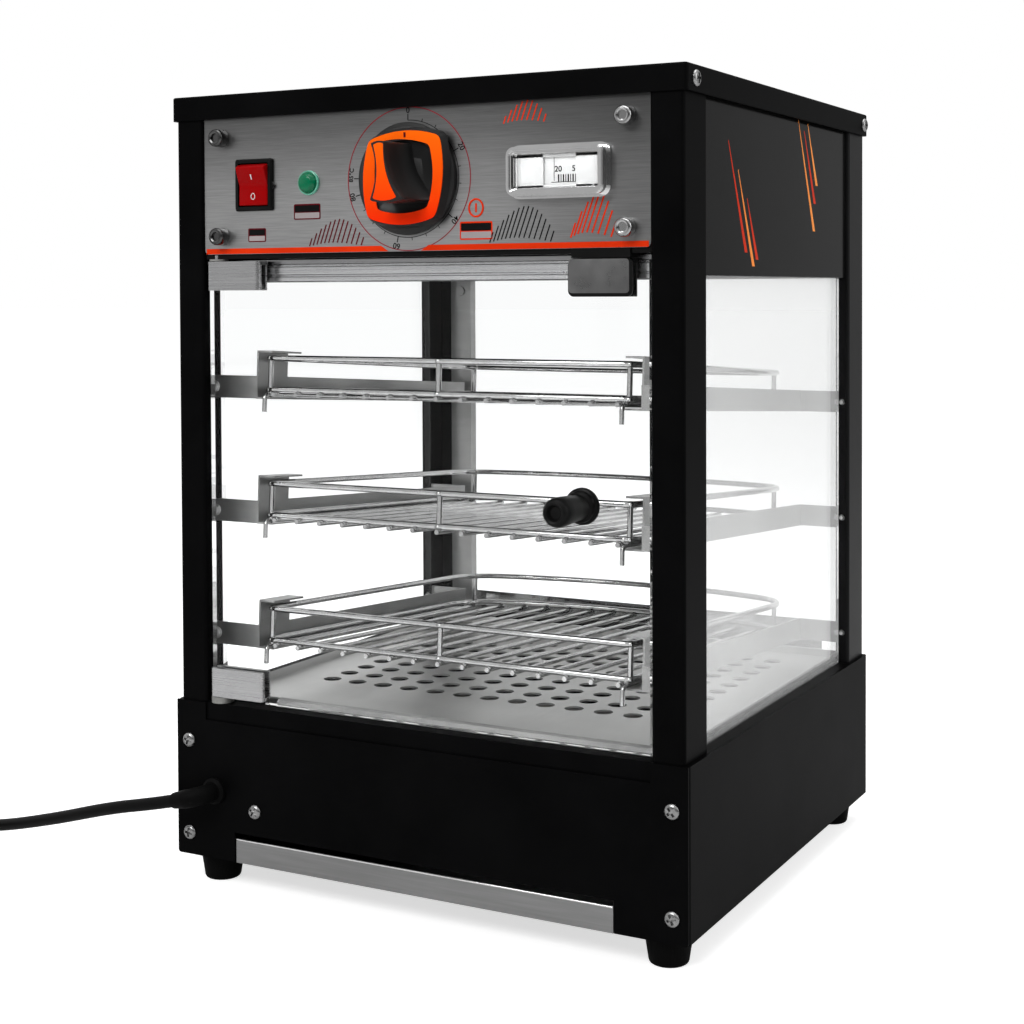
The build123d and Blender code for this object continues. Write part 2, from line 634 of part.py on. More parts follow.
def shelf_rail(level):
    """The right-hand rail of one level: a leaning web and ledge, a front tab, and two straps."""
    x = RAIL_X
    inner = RAIL_X - RAIL_LEDGE
    outer = RAIL_X + SHEET
    web = block(x, outer, 0, RAIL_LENGTH, -SHEET, RAIL_H - SHEET)
    ledge = block(inner, outer, 0, RAIL_LENGTH, -SHEET, 0)
    tab = block(x, outer, 0, RAIL_TAB_L, -SHEET, RAIL_TAB_H - SHEET)
    tab_flange = block(inner, outer, 0, RAIL_TAB_L, RAIL_TAB_H - 2 * SHEET, RAIL_TAB_H - SHEET)
    leaning = rail_frame(level) * fuse([web, ledge, tab, tab_flange])
    ear = POST_X - BEND_R - FIT
    z = RAIL_FIRST_Z + level * RAIL_PITCH
    rear_z = z - RAIL_RUN * RAIL_SLOPE
    front_strap = block(x, ear, -RAIL_Y, -RAIL_Y + SHEET, z + 0.2, z + RAIL_H)
    rear_strap = block(x, ear, RAIL_Y - SHEET, RAIL_Y, rear_z + 0.2, rear_z + RAIL_H)
    rail = fuse([leaning, front_strap, rear_strap])
    for y, height in ((-RAIL_Y, z + RAIL_H / 2), (RAIL_Y, rear_z + RAIL_H / 2)):
        rail -= rod(SCREW_SHANK_R + 0.1, (RAIL_SCREW_X, y - 3, height), (RAIL_SCREW_X, y + 3, height))
    return rail


def rail_screws():
    """One screw at each end of each rail, through the strap and the edge of the post."""
    screws = []
    for front, way in ((True, 0), (False, 180)):
        y = -RAIL_Y if front else RAIL_Y
        for z in rail_screw_heights(front):
            for x in (-RAIL_SCREW_X, RAIL_SCREW_X):
                screws.append(Pos(x, y, z) * Rot(0, 0, way) * small_screw())
    return Compound(screws)


def small_screw():
    """A screw for thin sheet, with few sides because there are many. Its head faces forwards."""
    head = prism(SCREW_SIDES, RAIL_HEAD_R, (0, -1.5, 0), (0, 0, 0))
    return head + prism(WIRE_SIDES, SCREW_SHANK_R - 0.2, (0, -1, 0), (0, 5, 0))


def bow_centres():
    """The middle of the bow's arc and of the rear corner's arc, in the leaning frame."""
    rear = RACK_FRONT_GAP + RACK_DEPTH
    bow_y = rear - RACK_BOW_R
    corner_x = RACK_HALF_W - RACK_CORNER_R
    corner_y = bow_y + math.sqrt((RACK_BOW_R - RACK_CORNER_R) ** 2 - corner_x**2)
    return bow_y, corner_x, corner_y


def rim_height_at(x):
    """How far back the bow's centre line lies at a distance x from the middle."""
    bow_y, corner_x, corner_y = bow_centres()
    lean = math.atan2(corner_y - bow_y, corner_x)
    meet_x = RACK_BOW_R * math.cos(lean)
    if abs(x) < meet_x:
        return bow_y + math.sqrt(RACK_BOW_R**2 - x**2)
    return corner_y + math.sqrt(RACK_CORNER_R**2 - (abs(x) - corner_x) ** 2)


def rim_half():
    """Half of the rim's centre line, from the front middle to the rear middle."""
    w = RACK_HALF_W
    front = RACK_FRONT_GAP
    r = RACK_FRONT_R
    turn = r * (1 - math.sqrt(0.5))
    bow_y, corner_x, corner_y = bow_centres()
    lean = math.atan2(corner_y - bow_y, corner_x)
    meet = (RACK_BOW_R * math.cos(lean), bow_y + RACK_BOW_R * math.sin(lean))
    half_lean = lean / 2
    on_corner = (
        corner_x + RACK_CORNER_R * math.cos(half_lean),
        corner_y + RACK_CORNER_R * math.sin(half_lean),
    )
    quarter = (lean + math.pi / 2) / 2
    on_bow = (RACK_BOW_R * math.cos(quarter), bow_y + RACK_BOW_R * math.sin(quarter))
    path = Line((0, front), (w - r, front))
    path += ThreePointArc((w - r, front), (w - turn, front + turn), (w, front + r))
    path += Line((w, front + r), (w, corner_y))
    path += ThreePointArc((w, corner_y), on_corner, meet)
    path += ThreePointArc(meet, on_bow, (0, bow_y + RACK_BOW_R))
    return path


def rim_wire(z):
    """One ring of the rack's rim."""
    section = Plane(origin=(0, RACK_FRONT_GAP, 0), z_dir=(1, 0, 0)) * flat_sided(RIM_SIDES, FRAME_WIRE_R)
    half = sweep(section, path=rim_half())
    return Pos(0, 0, z) * fuse([half, mirrored(half)])


def runner_wire():
    """An outer grid wire that slides on the ledge, with its front end bent down as a peg."""
    r = PEG_BEND_R
    peg_y = -PEG_OUT
    rear = rim_height_at(RUNNER_X) + 1
    start = (RUNNER_X, rear, GRID_Z)
    bend = (RUNNER_X, peg_y + r, GRID_Z)
    mid = (RUNNER_X, peg_y + r - r * math.sin(math.pi / 4), GRID_Z - r + r * math.cos(math.pi / 4))
    down = (RUNNER_X, peg_y, GRID_Z - r)
    path = Line(start, bend) + ThreePointArc(bend, mid, down) + Line(down, (RUNNER_X, peg_y, GRID_Z - PEG_L))
    section = Plane(origin=start, z_dir=(0, -1, 0)) * flat_sided(WIRE_SIDES, GRID_WIRE_R)
    return sweep(section, path=path)


def tie_places():
    """The uprights between the two rings: front middle, and the middle of each corner's bend."""
    bow_y, corner_x, corner_y = bow_centres()
    rear_x = corner_x + RACK_CORNER_R * 0.8
    rear_y = corner_y + RACK_CORNER_R * 0.6
    front = RACK_FRONT_GAP
    turn = RACK_FRONT_R * (1 - math.sqrt(0.5))
    front_x = RACK_HALF_W - turn
    front_y = front + turn
    return [(0, front), (-front_x, front_y), (front_x, front_y), (-rear_x, rear_y), (rear_x, rear_y)]


def rack():
    """A wire basket: two rings, their uprights, and the grid wires under the lower ring."""
    wires = [rim_wire(FRAME_Z), rim_wire(FRAME_Z + RACK_RIM_H)]
    for x, y in tie_places():
        wires.append(prism(WIRE_SIDES, FRAME_WIRE_R - 0.3, (x, y, FRAME_Z), (x, y, FRAME_Z + RACK_RIM_H)))
    for k in range(GRID_WIRES):
        x = (k - (GRID_WIRES - 1) / 2) * GRID_PITCH
        front = (x, RACK_FRONT_GAP - 3, GRID_Z)
        wires.append(prism(WIRE_SIDES, GRID_WIRE_R, front, (x, rim_height_at(x) + 2.5, GRID_Z)))
    runner = runner_wire()
    return fuse(wires + [runner, mirrored(runner)])


def switch_housing():
    y_face = FASCIA_Y - 2.5
    half_w = SWITCH_W / 2
    half_h = SWITCH_H / 2
    x0 = SWITCH_X
    z0 = CONTROL_Z
    bezel = rounded_block(x0 - half_w, x0 + half_w, y_face, FASCIA_Y, z0 - half_h, z0 + half_h, 2, Axis.Y)
    body = block(x0 - 12.2, x0 + 12.2, FASCIA_Y - 1, FASCIA_Y + 24, z0 - 14.7, z0 + 14.7)
    housing = bezel + body
    inner_w = ROCKER_W / 2 + FIT
    inner_h = ROCKER_R + FIT
    y_deep = FASCIA_Y + 11
    housing -= block(x0 - inner_w, x0 + inner_w, y_face - 1, y_deep, z0 - inner_h, z0 + inner_h)
    pin = ROCKER_PIVOT_Y
    return housing - rod(1.55, (x0 - 12.5, pin, z0), (x0 + 12.5, pin, z0))


def rocker():
    """The switch's rocker, resting off: its upper wing stands proud."""
    r = ROCKER_R
    tip = math.radians(25)
    foot = math.radians(-14)
    tip_up = (-r * math.sin(tip), r * math.cos(tip))
    foot_up = (-r * math.sin(foot), r * math.cos(foot))
    side_up = (0, r)
    outline = Polyline((-3.2, 0), tip_up)
    outline += ThreePointArc(tip_up, side_up, foot_up)
    outline += Line(foot_up, (6, 0)) + Line((6, 0), (foot_up[0], -foot_up[1]))
    outline += ThreePointArc((foot_up[0], -foot_up[1]), (0, -r), (tip_up[0], -tip_up[1]))
    outline += Line((tip_up[0], -tip_up[1]), (-3.2, 0))
    profile = Plane.YZ * make_face(outline)
    body = extrude(profile, amount=ROCKER_W / 2, both=True)
    body += rod(1.5, (-12.1, 0, 0), (12.1, 0, 0))
    return Pos(SWITCH_X, ROCKER_PIVOT_Y, CONTROL_Z) * Rot(ROCKER_TILT, 0, 0) * body


def lamp_bezel():
    ring = [(5.3, 1.6), (LAMP_R - 0.5, 1.6), (LAMP_R, 1.0), (LAMP_R, 0), (6.0, 0), (6.0, -14), (5.3, -14)]
    return turned_about_y(ring, LAMP_X, FASCIA_Y, CONTROL_Z)


def lamp_lens():
    """A low domed head that lies on the bezel, on a stem that fits inside it."""
    head = LAMP_R - 1.1
    outline = [(0, 5.0), (head - 2, 4.6), (head, 3.2), (head, 1.6), (5.0, 1.6), (5.0, -12), (0, -12)]
    return turned_about_y(outline, LAMP_X, FASCIA_Y, CONTROL_Z)


def thermostat_body():
    y = SHELF_LIP_Y + SHEET
    body = rounded_block(DIAL_X - 19, DIAL_X + 19, y, y + 22, CONTROL_Z - 24, CONTROL_Z + 24, 3, Axis.Y)
    capsule = rod(3.5, (DIAL_X + 12, y + 22, CONTROL_Z + 10), (DIAL_X + 12, y + 27, CONTROL_Z + 10))
    bore = rod(SHAFT_R + PIN_CLEAR, (DIAL_X, y - 1, CONTROL_Z), (DIAL_X, y + 14, CONTROL_Z))
    return body + capsule - bore


def thermostat_shaft():
    y = SHELF_LIP_Y + SHEET
    return rod(SHAFT_R, (DIAL_X, FASCIA_Y - 20, CONTROL_Z), (DIAL_X, y + 13.5, CONTROL_Z))


def grip_outline():
    """The end of the knob's grip: narrow waist, broad foot that flares to the right."""
    outline = Line((-4.4, 16.5), (4.4, 16.5))
    outline += ThreePointArc((4.4, 16.5), (4.9, -1.5), (13, -16.5))
    outline += ThreePointArc((13, -16.5), (3.2, -18.6), (-6.5, -16.5))
    outline += ThreePointArc((-6.5, -16.5), (-3.4, 1), (-4.4, 16.5))
    return make_face(outline)


def front_plane(out):
    """A plane parallel to the fascia, a distance in front of it, drawn as it is seen."""
    return Plane(origin=(DIAL_X, FASCIA_Y - out, CONTROL_Z), x_dir=(1, 0, 0), z_dir=(0, -1, 0))


def thermostat_knob():
    """A round skirt that rises to a rounded square, with a dished middle and an upright grip."""
    skirt = [(0, 0.5), (DIAL_SKIRT_R, 0.5), (DIAL_SKIRT_R, 2.4), (DIAL_SKIRT_R - 2.5, 4.2), (0, 4.2)]
    base = turned_about_y(skirt, DIAL_X, FASCIA_Y, CONTROL_Z)
    low = front_plane(4.0) * RectangleRounded(DIAL_FACE_W + 7, DIAL_FACE_H + 7, 24)
    high = front_plane(8.0) * RectangleRounded(DIAL_FACE_W, DIAL_FACE_H, 13)
    shoulder = loft([low, high])
    dish_r = 60.0
    dish = Pos(DIAL_X, FASCIA_Y - 4.8 - dish_r, CONTROL_Z) * Sphere(dish_r)
    grip = extrude(front_plane(3.0) * grip_outline(), amount=DIAL_GRIP_REACH - 4.0)
    knob = fuse([base, shoulder]) - dish
    knob = fuse([knob, grip])
    return knob - rod(SHAFT_R + 0.02, (DIAL_X, FASCIA_Y + 1, CONTROL_Z), (DIAL_X, FASCIA_Y - 20.2, CONTROL_Z))


def thermostat_knob_face():
    """The bright insets: a rounded square band, and the cap on the end of the grip."""
    outer = RectangleRounded(DIAL_FACE_W, DIAL_FACE_H, 13)
    inner = RectangleRounded(DIAL_FACE_W - 13, DIAL_FACE_H - 13, 11)
    band = extrude(front_plane(8.0) * (outer - inner), amount=1.2)
    cap = extrude(front_plane(DIAL_GRIP_REACH - 1.0) * grip_outline(), amount=1.0)
    return Compound([band.solid(), cap.solid()])


def thermometer_bezel():
    """A chromed frame with rounded corners and a stepped window opening."""
    half_w = METER_W / 2
    half_h = METER_H / 2
    y = FASCIA_Y - METER_T
    x = METER_X
    z = CONTROL_Z + 1.0
    frame = rounded_block(x - half_w, x + half_w, y, FASCIA_Y, z - half_h, z + half_h, 4, Axis.Y)
    frame = fillet(frame.faces().sort_by(Axis.Y)[0].edges(), 1.6)
    opening = rounded_block(x - half_w + 5, x + half_w - 5, y - 1, FASCIA_Y + 1, z - 9.5, z + 9.5, 1.5, Axis.Y)
    return frame - opening


def thermometer_plate():
    half_w = METER_W / 2 - 5.1
    x = METER_X
    z = CONTROL_Z + 1.0
    plate = rounded_block(x - half_w, x + half_w, FASCIA_Y - 3.5, FASCIA_Y, z - 9.4, z + 9.4, 1.5, Axis.Y)
    window = block(x - 12.5, x + 12.5, FASCIA_Y - 4, FASCIA_Y - 2.7, z - 7.2, z + 7.2)
    return plate - window


def thermometer_window():
    half_w = METER_W / 2 - 5.1
    z = CONTROL_Z + 1.0
    y = FASCIA_Y - METER_T + 2.2
    return rounded_block(METER_X - half_w, METER_X + half_w, y, y + 1.5, z - 9.4, z + 9.4, 1.5, Axis.Y)


def heating_element():
    """A bent tubular element in four runs under the floor pan, with both ends to the left."""
    x0 = -HEATER_RUN / 2
    x1 = HEATER_RUN / 2
    r = HEATER_PITCH / 2
    ys = [(k - (HEATER_RUNS - 1) / 2) * HEATER_PITCH for k in range(HEATER_RUNS)]
    path = Line((x0 - 30, ys[0]), (x1, ys[0]))
    path += ThreePointArc((x1, ys[0]), (x1 + r, ys[0] + r), (x1, ys[1]))
    path += Line((x1, ys[1]), (x0, ys[1]))
    path += ThreePointArc((x0, ys[1]), (x0 - r, ys[1] + r), (x0, ys[2]))
    path += Line((x0, ys[2]), (x1, ys[2]))
    path += ThreePointArc((x1, ys[2]), (x1 + r, ys[2] + r), (x1, ys[3]))
    path += Line((x1, ys[3]), (x0 - 30, ys[3]))
    section = Plane(origin=(x0 - 30, ys[0], 0), z_dir=(1, 0, 0)) * flat_sided(HEATER_SIDES, HEATER_R - 0.25)
    return Pos(0, 0, HEATER_Z) * sweep(section, path=path)


def heater_brackets():
    """Two folded stands across the base, over the crumb tray, that carry the element."""
    top = HEATER_Z - HEATER_R
    half = BRACKET_SPAN / 2
    low = FOOT_H + SHEET
    stand = block(-15, 15, -half, half, top - SHEET, top)
    for way in (-1, 1):
        y = way * (half - SHEET / 2)
        stand += block(-15, 15, y - SHEET / 2, y + SHEET / 2, low, top)
        foot_y = way * (half + 5)
        stand += block(-15, 15, foot_y - 6, foot_y + 6, low, low + SHEET)
    turned = Rot(0, 0, 90) * stand
    return Compound([Pos(0, 0, 0) * Pos(0, y, 0) * turned.solid() for y in (-BRACKET_Y, BRACKET_Y)])


def wire_duct_cover():
    """A channel in the rear left corner, from the deck up to the control space."""
    x0 = DUCT_X
    x1 = x0 + DUCT_W
    y0 = POST_Y - 13.5
    y1 = REAR_GLASS_Y - GLASS_T - FIT
    duct = block(x0, x1, y0, y0 + SHEET, DECK_Z, SHELF_Z - FIT)
    duct += block(x0, x0 + SHEET, y0, y1 - 3, DECK_Z, SHELF_Z - FIT)
    duct += block(x1 - SHEET, x1, y0, y1, DECK_Z, SHELF_Z - FIT)
    screw = Pos((x0 + x1) / 2, y0 + 0.2, 374.7) * small_screw()
    return duct + screw


def gland_direction():
    dip = math.radians(GLAND_DIP)
    return (-math.cos(dip), 0, -math.sin(dip))


def cord_gland():
    """An elbow strain relief: a collar on the plate, a tight bend to the left, and a tapered end."""
    collar = turned_about_y([(0, 4), (6.4, 4), (8.2, 2.4), (8.2, 0), (6.0, 0), (6.0, -5), (0, -5)], 0, 0, 0)
    nut = turned_about_y([(0, -SHEET), (9, -SHEET), (9, -SHEET - 3), (0, -SHEET - 3)], 0, 0, 0)
    bend_r = ELBOW_R
    path = Line((0, 0), (0, -ELBOW_START))
    path += TangentArc((0, -ELBOW_START), (-bend_r, -ELBOW_START - bend_r), tangent=(0, -1))
    section = Plane(origin=(0, 0, 0), z_dir=(0, -1, 0)) * Circle(5.8)
    elbow = sweep(section, path=path)
    end_x = -bend_r
    y = -ELBOW_START - bend_r
    cone = Plane(origin=(end_x, y, 0), z_dir=(-1, 0, 0)) * Cone(
        5.8, 4.9, ELBOW_END, align=(Align.CENTER, Align.CENTER, Align.MIN)
    )
    relief = fuse([collar, nut, elbow, cone])
    return Pos(GLAND_X, -HALF_D, GLAND_Z) * Rot(0, -GLAND_DIP, 0) * relief


def cord_points():
    """The route of the free stretch, from the strain relief to the coil. The last point is the coil's."""
    dx, dy, dz = gland_direction()
    reach = ELBOW_R + ELBOW_END
    start = (GLAND_X + reach * dx, -HALF_D - ELBOW_START - ELBOW_R, GLAND_Z + reach * dz)
    second = (start[0] + 20 * dx, start[1], start[2] + 20 * dz)
    hand_set = [(-219.0, -178.5, 43.5), (-278.0, -168.0, 25.0), (-340.0, -156.0, 8.0)]
    before_coil = (COIL_START[0] + 24.0, COIL_START[1], COIL_START[2])
    return [start, second] + hand_set + [before_coil, COIL_START]


def power_cord():
    """The free stretch: straight runs joined by tangent arcs."""
    points = [Vector(*p) for p in cord_points()]
    radii = []
    for before, here, after in zip(points, points[1:], points[2:]):
        a = here - before
        b = after - here
        half_turn = math.radians(a.get_angle(b)) / 2
        radii.append(0.45 * min(a.length, b.length) / math.tan(half_turn))
    print("cord radii", [round(r) for r in radii])
    path = FilletPolyline(*points, radius=radii)
    section = Plane(origin=points[0], z_dir=points[1] - points[0]) * flat_sided(CORD_SIDES, CORD_D / 2)
    tube = sweep(section, path=path)
    wanted = math.pi * CORD_D**2 / 4 * path.length
    print("cord length", round(path.length, 1), "volume over section times length", round(tube.volume / wanted, 4))
    return tube


def coil_edges():
    """The coil's centre line: half turns that draw in on the table, climb, and spread out again on top."""
    q = COIL_PITCH / 2
    z0 = COIL_Z
    z1 = COIL_Z + COIL_LAYER
    edges = []
    here = [COIL_R, 0.0]
    edges.append(Line((COIL_R, -CORD_D, z0), (COIL_R, 0, z0)))

    def half_turn(radius, up, z):
        way = 1 if up else -1
        centre = here[0] - way * radius
        end = centre - way * radius
        edges.append(ThreePointArc((here[0], 0, z), (centre, way * radius, z), (end, 0, z)))
        here[0] = end

    for k in range(5):
        half_turn(COIL_R - k * q, k % 2 == 0, z0)
    r = COIL_R - 5 * q
    centre = here[0] + r
    deep = math.sqrt(r * r + COIL_LAYER**2 / 4)
    middle = (centre, -deep, (z0 + z1) / 2)
    start = (here[0], 0, z0)
    end = (centre + r, 0, z1)
    edges.append(TangentArc(start, middle, tangent=(0, -1, 0)))
    edges.append(TangentArc(middle, end, tangent=edges[-1] % 1))
    here[0] = centre + r
    for k in range(4):
        half_turn(COIL_R - (4 - k) * q, k % 2 == 0, z1)
    edges.append(Line((here[0], 0, z1), (here[0], TAIL_L, z1)))
    return edges


def cord_coil():
    """The put-away length: one unbroken tube in two layers."""
    edges = coil_edges()
    section = Plane(origin=edges[0] @ 0, z_dir=edges[0] % 0) * flat_sided(CORD_SIDES, CORD_D / 2)
    tube = sweep(section, path=Wire(edges))
    print("coil length", round(sum(e.length for e in edges), 1), "least gap", round(coil_gap(edges), 2))
    return Pos(COIL_CENTRE[0], COIL_CENTRE[1], 0) * Rot(0, 0, 90) * tube


def coil_gap(edges):
    """The least distance between two stretches of the coil that aren't neighbours along it, less a diameter."""
    points = []
    along = 0.0
    for edge in edges:
        steps = max(2, round(edge.length / 4))
        points += [(along + edge.length * k / steps, edge @ (k / steps)) for k in range(steps)]
        along += edge.length
    gaps = [
        (a - b).length for i, (s, a) in enumerate(points) for t, b in points[i + 1 :] if t - s > 4 * CORD_D
    ]
    return min(gaps) - CORD_D


def plug():
    """A moulded three-pin plug that lies beside the coil, where the cord's end reaches it."""
    x = COIL_CENTRE[0] - TAIL_L
    y = COIL_CENTRE[1] + plug_offset()
    z = COIL_Z + COIL_LAYER
    boot = Plane(origin=(x, y, z), z_dir=(-1, 0, 0)) * Cone(
        5.2, 7.5, 16, align=(Align.CENTER, Align.CENTER, Align.MIN)
    )
    half = z - 0.1
    body = rounded_block(x - 50, x - 15, y - 13, y + 13, z - half, z + half, 5, Axis.X)
    pins = [block(x - 67, x - 49, y + s * 6.35 - 0.75, y + s * 6.35 + 0.75, z - 2, z + 4) for s in (-1, 1)]
    earth = rod(2.4, (x - 49, y, z - 7), (x - 69, y, z - 7))
    return fuse([boot, body, earth] + pins)


def plug_offset():
    """Where the coil's top layer ends, measured from the coil's middle towards the rear."""
    x = COIL_R
    q = COIL_PITCH / 2
    for k in range(6):
        x += (-2 if k % 2 == 0 else 2) * (COIL_R - k * q)
    for k in range(4):
        x += (-2 if k % 2 == 0 else 2) * (COIL_R - (4 - k) * q)
    return x


def build_all():
    save("base_front_plate", base_front_plate())
    save("base_shell", base_shell())
    save("base_deck", base_deck())
    save("base_bottom", base_bottom())
    save("crumb_tray", crumb_tray())
    save("feet", feet())
    save("base_screws", base_screws())
    for front, place in ((True, "front"), (False, "rear")):
        shape = post(front)
        save(f"post_{place}_right", shape)
        save(f"post_{place}_left", mirrored(shape))
    save("top_lid", top_lid())
    save("lid_screws", lid_screws())
    save("side_panel_right", side_panel())
    save("side_panel_left", mirrored(side_panel()))
    save("rear_panel", rear_panel())
    save("side_glass_right", side_glass())
    save("side_glass_left", mirrored(side_glass()))
    save("rear_glass", rear_glass())
    save("floor_pan", floor_pan())
    save("control_shelf", control_shelf())
    save("control_fascia", control_fascia())
    save("fascia_studs", fascia_studs())
    save("header_rail", header_rail())
    save("magnet_catch", magnet_catch())
    save("door_glass", door_glass())
    save("hinge_clamp_bottom", hinge_clamp(CLAMP_LOW_Z, False))
    save("hinge_clamp_top", hinge_clamp(CLAMP_TOP_Z, True))
    save("hinge_bushes", hinge_bushes())
    save("striker_plate", striker_plate())
    save("door_knob", door_knob())
    save("door_knob_screw", door_knob_screw())
    basket = rack()
    for level, place in enumerate(("bottom", "middle", "top")):
        rail = shelf_rail(level)
        save(f"shelf_rail_{place}_right", rail)
        save(f"shelf_rail_{place}_left", mirrored(rail))
        save(f"rack_{place}", rail_frame(level) * basket)
    save("rail_screws", rail_screws())
    save("switch_housing", switch_housing())
    save("rocker", rocker())
    save("lamp_bezel", lamp_bezel())
    save("lamp_lens", lamp_lens())
    save("thermostat_body", thermostat_body())
    save("thermostat_shaft", thermostat_shaft())
    save("thermostat_knob", thermostat_knob())
    save("thermostat_knob_face", thermostat_knob_face())
    save("thermometer_bezel", thermometer_bezel())
    save("thermometer_plate", thermometer_plate())
    save("thermometer_window", thermometer_window())
    save("heating_element", heating_element())
    save("heater_brackets", heater_brackets())
    save("wire_duct_cover", wire_duct_cover())
    save("cord_gland", cord_gland())
    save("power_cord", power_cord())
    save("cord_coil", cord_coil())
    save("plug", plug())


build_all()
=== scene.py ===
# %% [markdown]
# # A countertop pizza warmer
#
# A sheet-metal cabinet with glass on four sides keeps pizza warm on three wire racks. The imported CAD
# model gives every piece its place and its motion. This script gives each piece its finish, models
# again the pieces whose CAD form is coarse, and sets a plain studio around the cabinet.

# %% Load the frame
import bpy
import math
from mathutils import Matrix, Vector


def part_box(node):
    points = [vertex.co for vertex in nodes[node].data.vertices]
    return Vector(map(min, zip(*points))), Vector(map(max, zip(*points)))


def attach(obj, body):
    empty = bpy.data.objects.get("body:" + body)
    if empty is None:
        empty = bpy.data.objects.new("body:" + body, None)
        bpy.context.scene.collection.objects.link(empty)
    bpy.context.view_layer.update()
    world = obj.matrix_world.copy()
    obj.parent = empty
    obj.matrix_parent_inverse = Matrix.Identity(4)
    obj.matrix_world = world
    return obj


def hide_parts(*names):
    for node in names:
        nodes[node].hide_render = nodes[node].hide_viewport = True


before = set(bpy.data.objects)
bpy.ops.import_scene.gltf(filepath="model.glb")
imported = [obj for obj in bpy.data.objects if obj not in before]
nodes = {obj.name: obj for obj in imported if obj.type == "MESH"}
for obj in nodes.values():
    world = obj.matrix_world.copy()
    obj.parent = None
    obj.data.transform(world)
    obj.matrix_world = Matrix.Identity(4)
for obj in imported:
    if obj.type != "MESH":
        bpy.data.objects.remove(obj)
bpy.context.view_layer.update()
print("pieces from the CAD model:", len(nodes))

# %% [markdown]
# ## Lengths that the pieces share
#
# Blender counts in metres. Outlines and small distances are given to the helpers in millimetres. The
# origin is the middle of the whole outline, door knob included, so the cabinet's own middle lies 16 mm
# behind it. Places are read from the boxes of CAD pieces, so a new piece sits on the one that carries it.

# %% Places read from the CAD pieces
MM = 0.001
ORIGIN = (0, 0, 0)
MIDDLE_Y = 16 * MM
FASCIA_LOW, FASCIA_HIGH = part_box("control_fascia")
FASCIA_Y = FASCIA_LOW.y
PLATE_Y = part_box("base_front_plate")[0].y
GLASS_LOW, GLASS_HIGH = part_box("door_glass")
DOOR_Y = GLASS_LOW.y
LID_LOW, LID_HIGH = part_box("top_lid")
DIAL_LOW, DIAL_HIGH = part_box("thermostat_knob")
DIAL_X = (DIAL_LOW.x + DIAL_HIGH.x) / 2
CONTROL_Z = (DIAL_LOW.z + DIAL_HIGH.z) / 2
DIAL = (DIAL_X, FASCIA_Y, CONTROL_Z)
print("fascia at y", round(FASCIA_Y, 4), "dial at", round(DIAL_X, 4), round(CONTROL_Z, 4))

# %% [markdown]
# ## Camera
#
# The photographer stood in front and to the right, at the height of the upper rack, with a short
# telephoto lens held level. The lens is shifted down a little, which keeps the posts upright in the frame.
# A camera in Blender looks along its own minus Z, so its axes are built from the direction it looks in.

# %% Camera
CAMERA_PLACE = Vector((0.53153, -1.01153, 0.37409))
CAMERA_YAW = math.radians(28.256)
CAMERA_PITCH = math.radians(-1.476)
CAMERA_ROLL = math.radians(-0.247)
FOCAL_PIXELS = 1728.98
FRAME_PIXELS = 1024
OPTICAL_CENTRE_ROW = 336.06

tilt = math.cos(CAMERA_PITCH)
look = Vector((-math.sin(CAMERA_YAW) * tilt, math.cos(CAMERA_YAW) * tilt, math.sin(CAMERA_PITCH)))
level = Vector((math.cos(CAMERA_YAW), math.sin(CAMERA_YAW), 0))
above = level.cross(look)
right = math.cos(CAMERA_ROLL) * level + math.sin(CAMERA_ROLL) * above
up = -math.sin(CAMERA_ROLL) * level + math.cos(CAMERA_ROLL) * above
camera_data = bpy.data.cameras.new("camera")
camera_data.sensor_width = 36
camera_data.lens = FOCAL_PIXELS / FRAME_PIXELS * camera_data.sensor_width
camera_data.shift_y = (OPTICAL_CENTRE_ROW - FRAME_PIXELS / 2) / FRAME_PIXELS
camera_data.clip_end = 60
camera = bpy.data.objects.new("camera", camera_data)
camera.matrix_world = Matrix((right, up, -look)).transposed().to_4x4()
camera.matrix_world.translation = CAMERA_PLACE
bpy.context.collection.objects.link(camera)
bpy.context.scene.camera = camera
print("lens", round(camera_data.lens, 2), "mm, shift", round(camera_data.shift_y, 4))

# %% [markdown]
# ## Helpers for nodes and materials
#
# A material starts as one Principled shader. Its constant values are typed straight into the shader's own
# sockets, and only what changes over the surface comes in through a link.

# %% Node helpers
def feed(tree, socket, value):
    """Gives a socket a plain value, or a link where the value is another node's output."""
    if isinstance(value, bpy.types.NodeSocket):
        tree.links.new(value, socket)
    else:
        socket.default_value = value


def add_node(tree, kind, settings=None, **sockets):
    """A shader node with its settings and what its named sockets get."""
    node = tree.nodes.new(kind)
    for setting, value in (settings or {}).items():
        setattr(node, setting, value)
    for label, value in sockets.items():
        feed(tree, node.inputs[label.replace("_", " ")], value)
    return node


def find_node(tree, kind):
    """The tree's one node of a type."""
    return next(node for node in tree.nodes if node.type == kind)


def math_node(tree, kind, a, b, clamp=False):
    """The result of a Math node. Each operand is a number or an output."""
    node = add_node(tree, "ShaderNodeMath", {"operation": kind, "use_clamp": clamp})
    feed(tree, node.inputs[0], a)
    feed(tree, node.inputs[1], b)
    return node.outputs[0]


def fade_node(tree, value, start, end, first=0.0, last=1.0, kind="LINEAR"):
    """A number that runs from first to last as the value goes from start to end."""
    sockets = {"From Min": start, "From Max": end, "To Min": first, "To Max": last}
    fade = add_node(tree, "ShaderNodeMapRange", {"interpolation_type": kind}, Value=value, **sockets)
    return fade.outputs["Result"]


def noise_node(tree, vector, scale, detail, roughness):
    """A noise texture read at a vector output."""
    noise = add_node(tree, "ShaderNodeTexNoise", Vector=vector, Scale=scale, Detail=detail, Roughness=roughness)
    return noise.outputs["Fac"]


def mix_shaders(tree, share, first, second):
    """The first shader where the share is 0, and the second where it is 1."""
    mix = tree.nodes.new("ShaderNodeMixShader")
    for socket, output in zip(mix.inputs, (share, first.outputs[0], second.outputs[0])):
        tree.links.new(output, socket)
    return mix


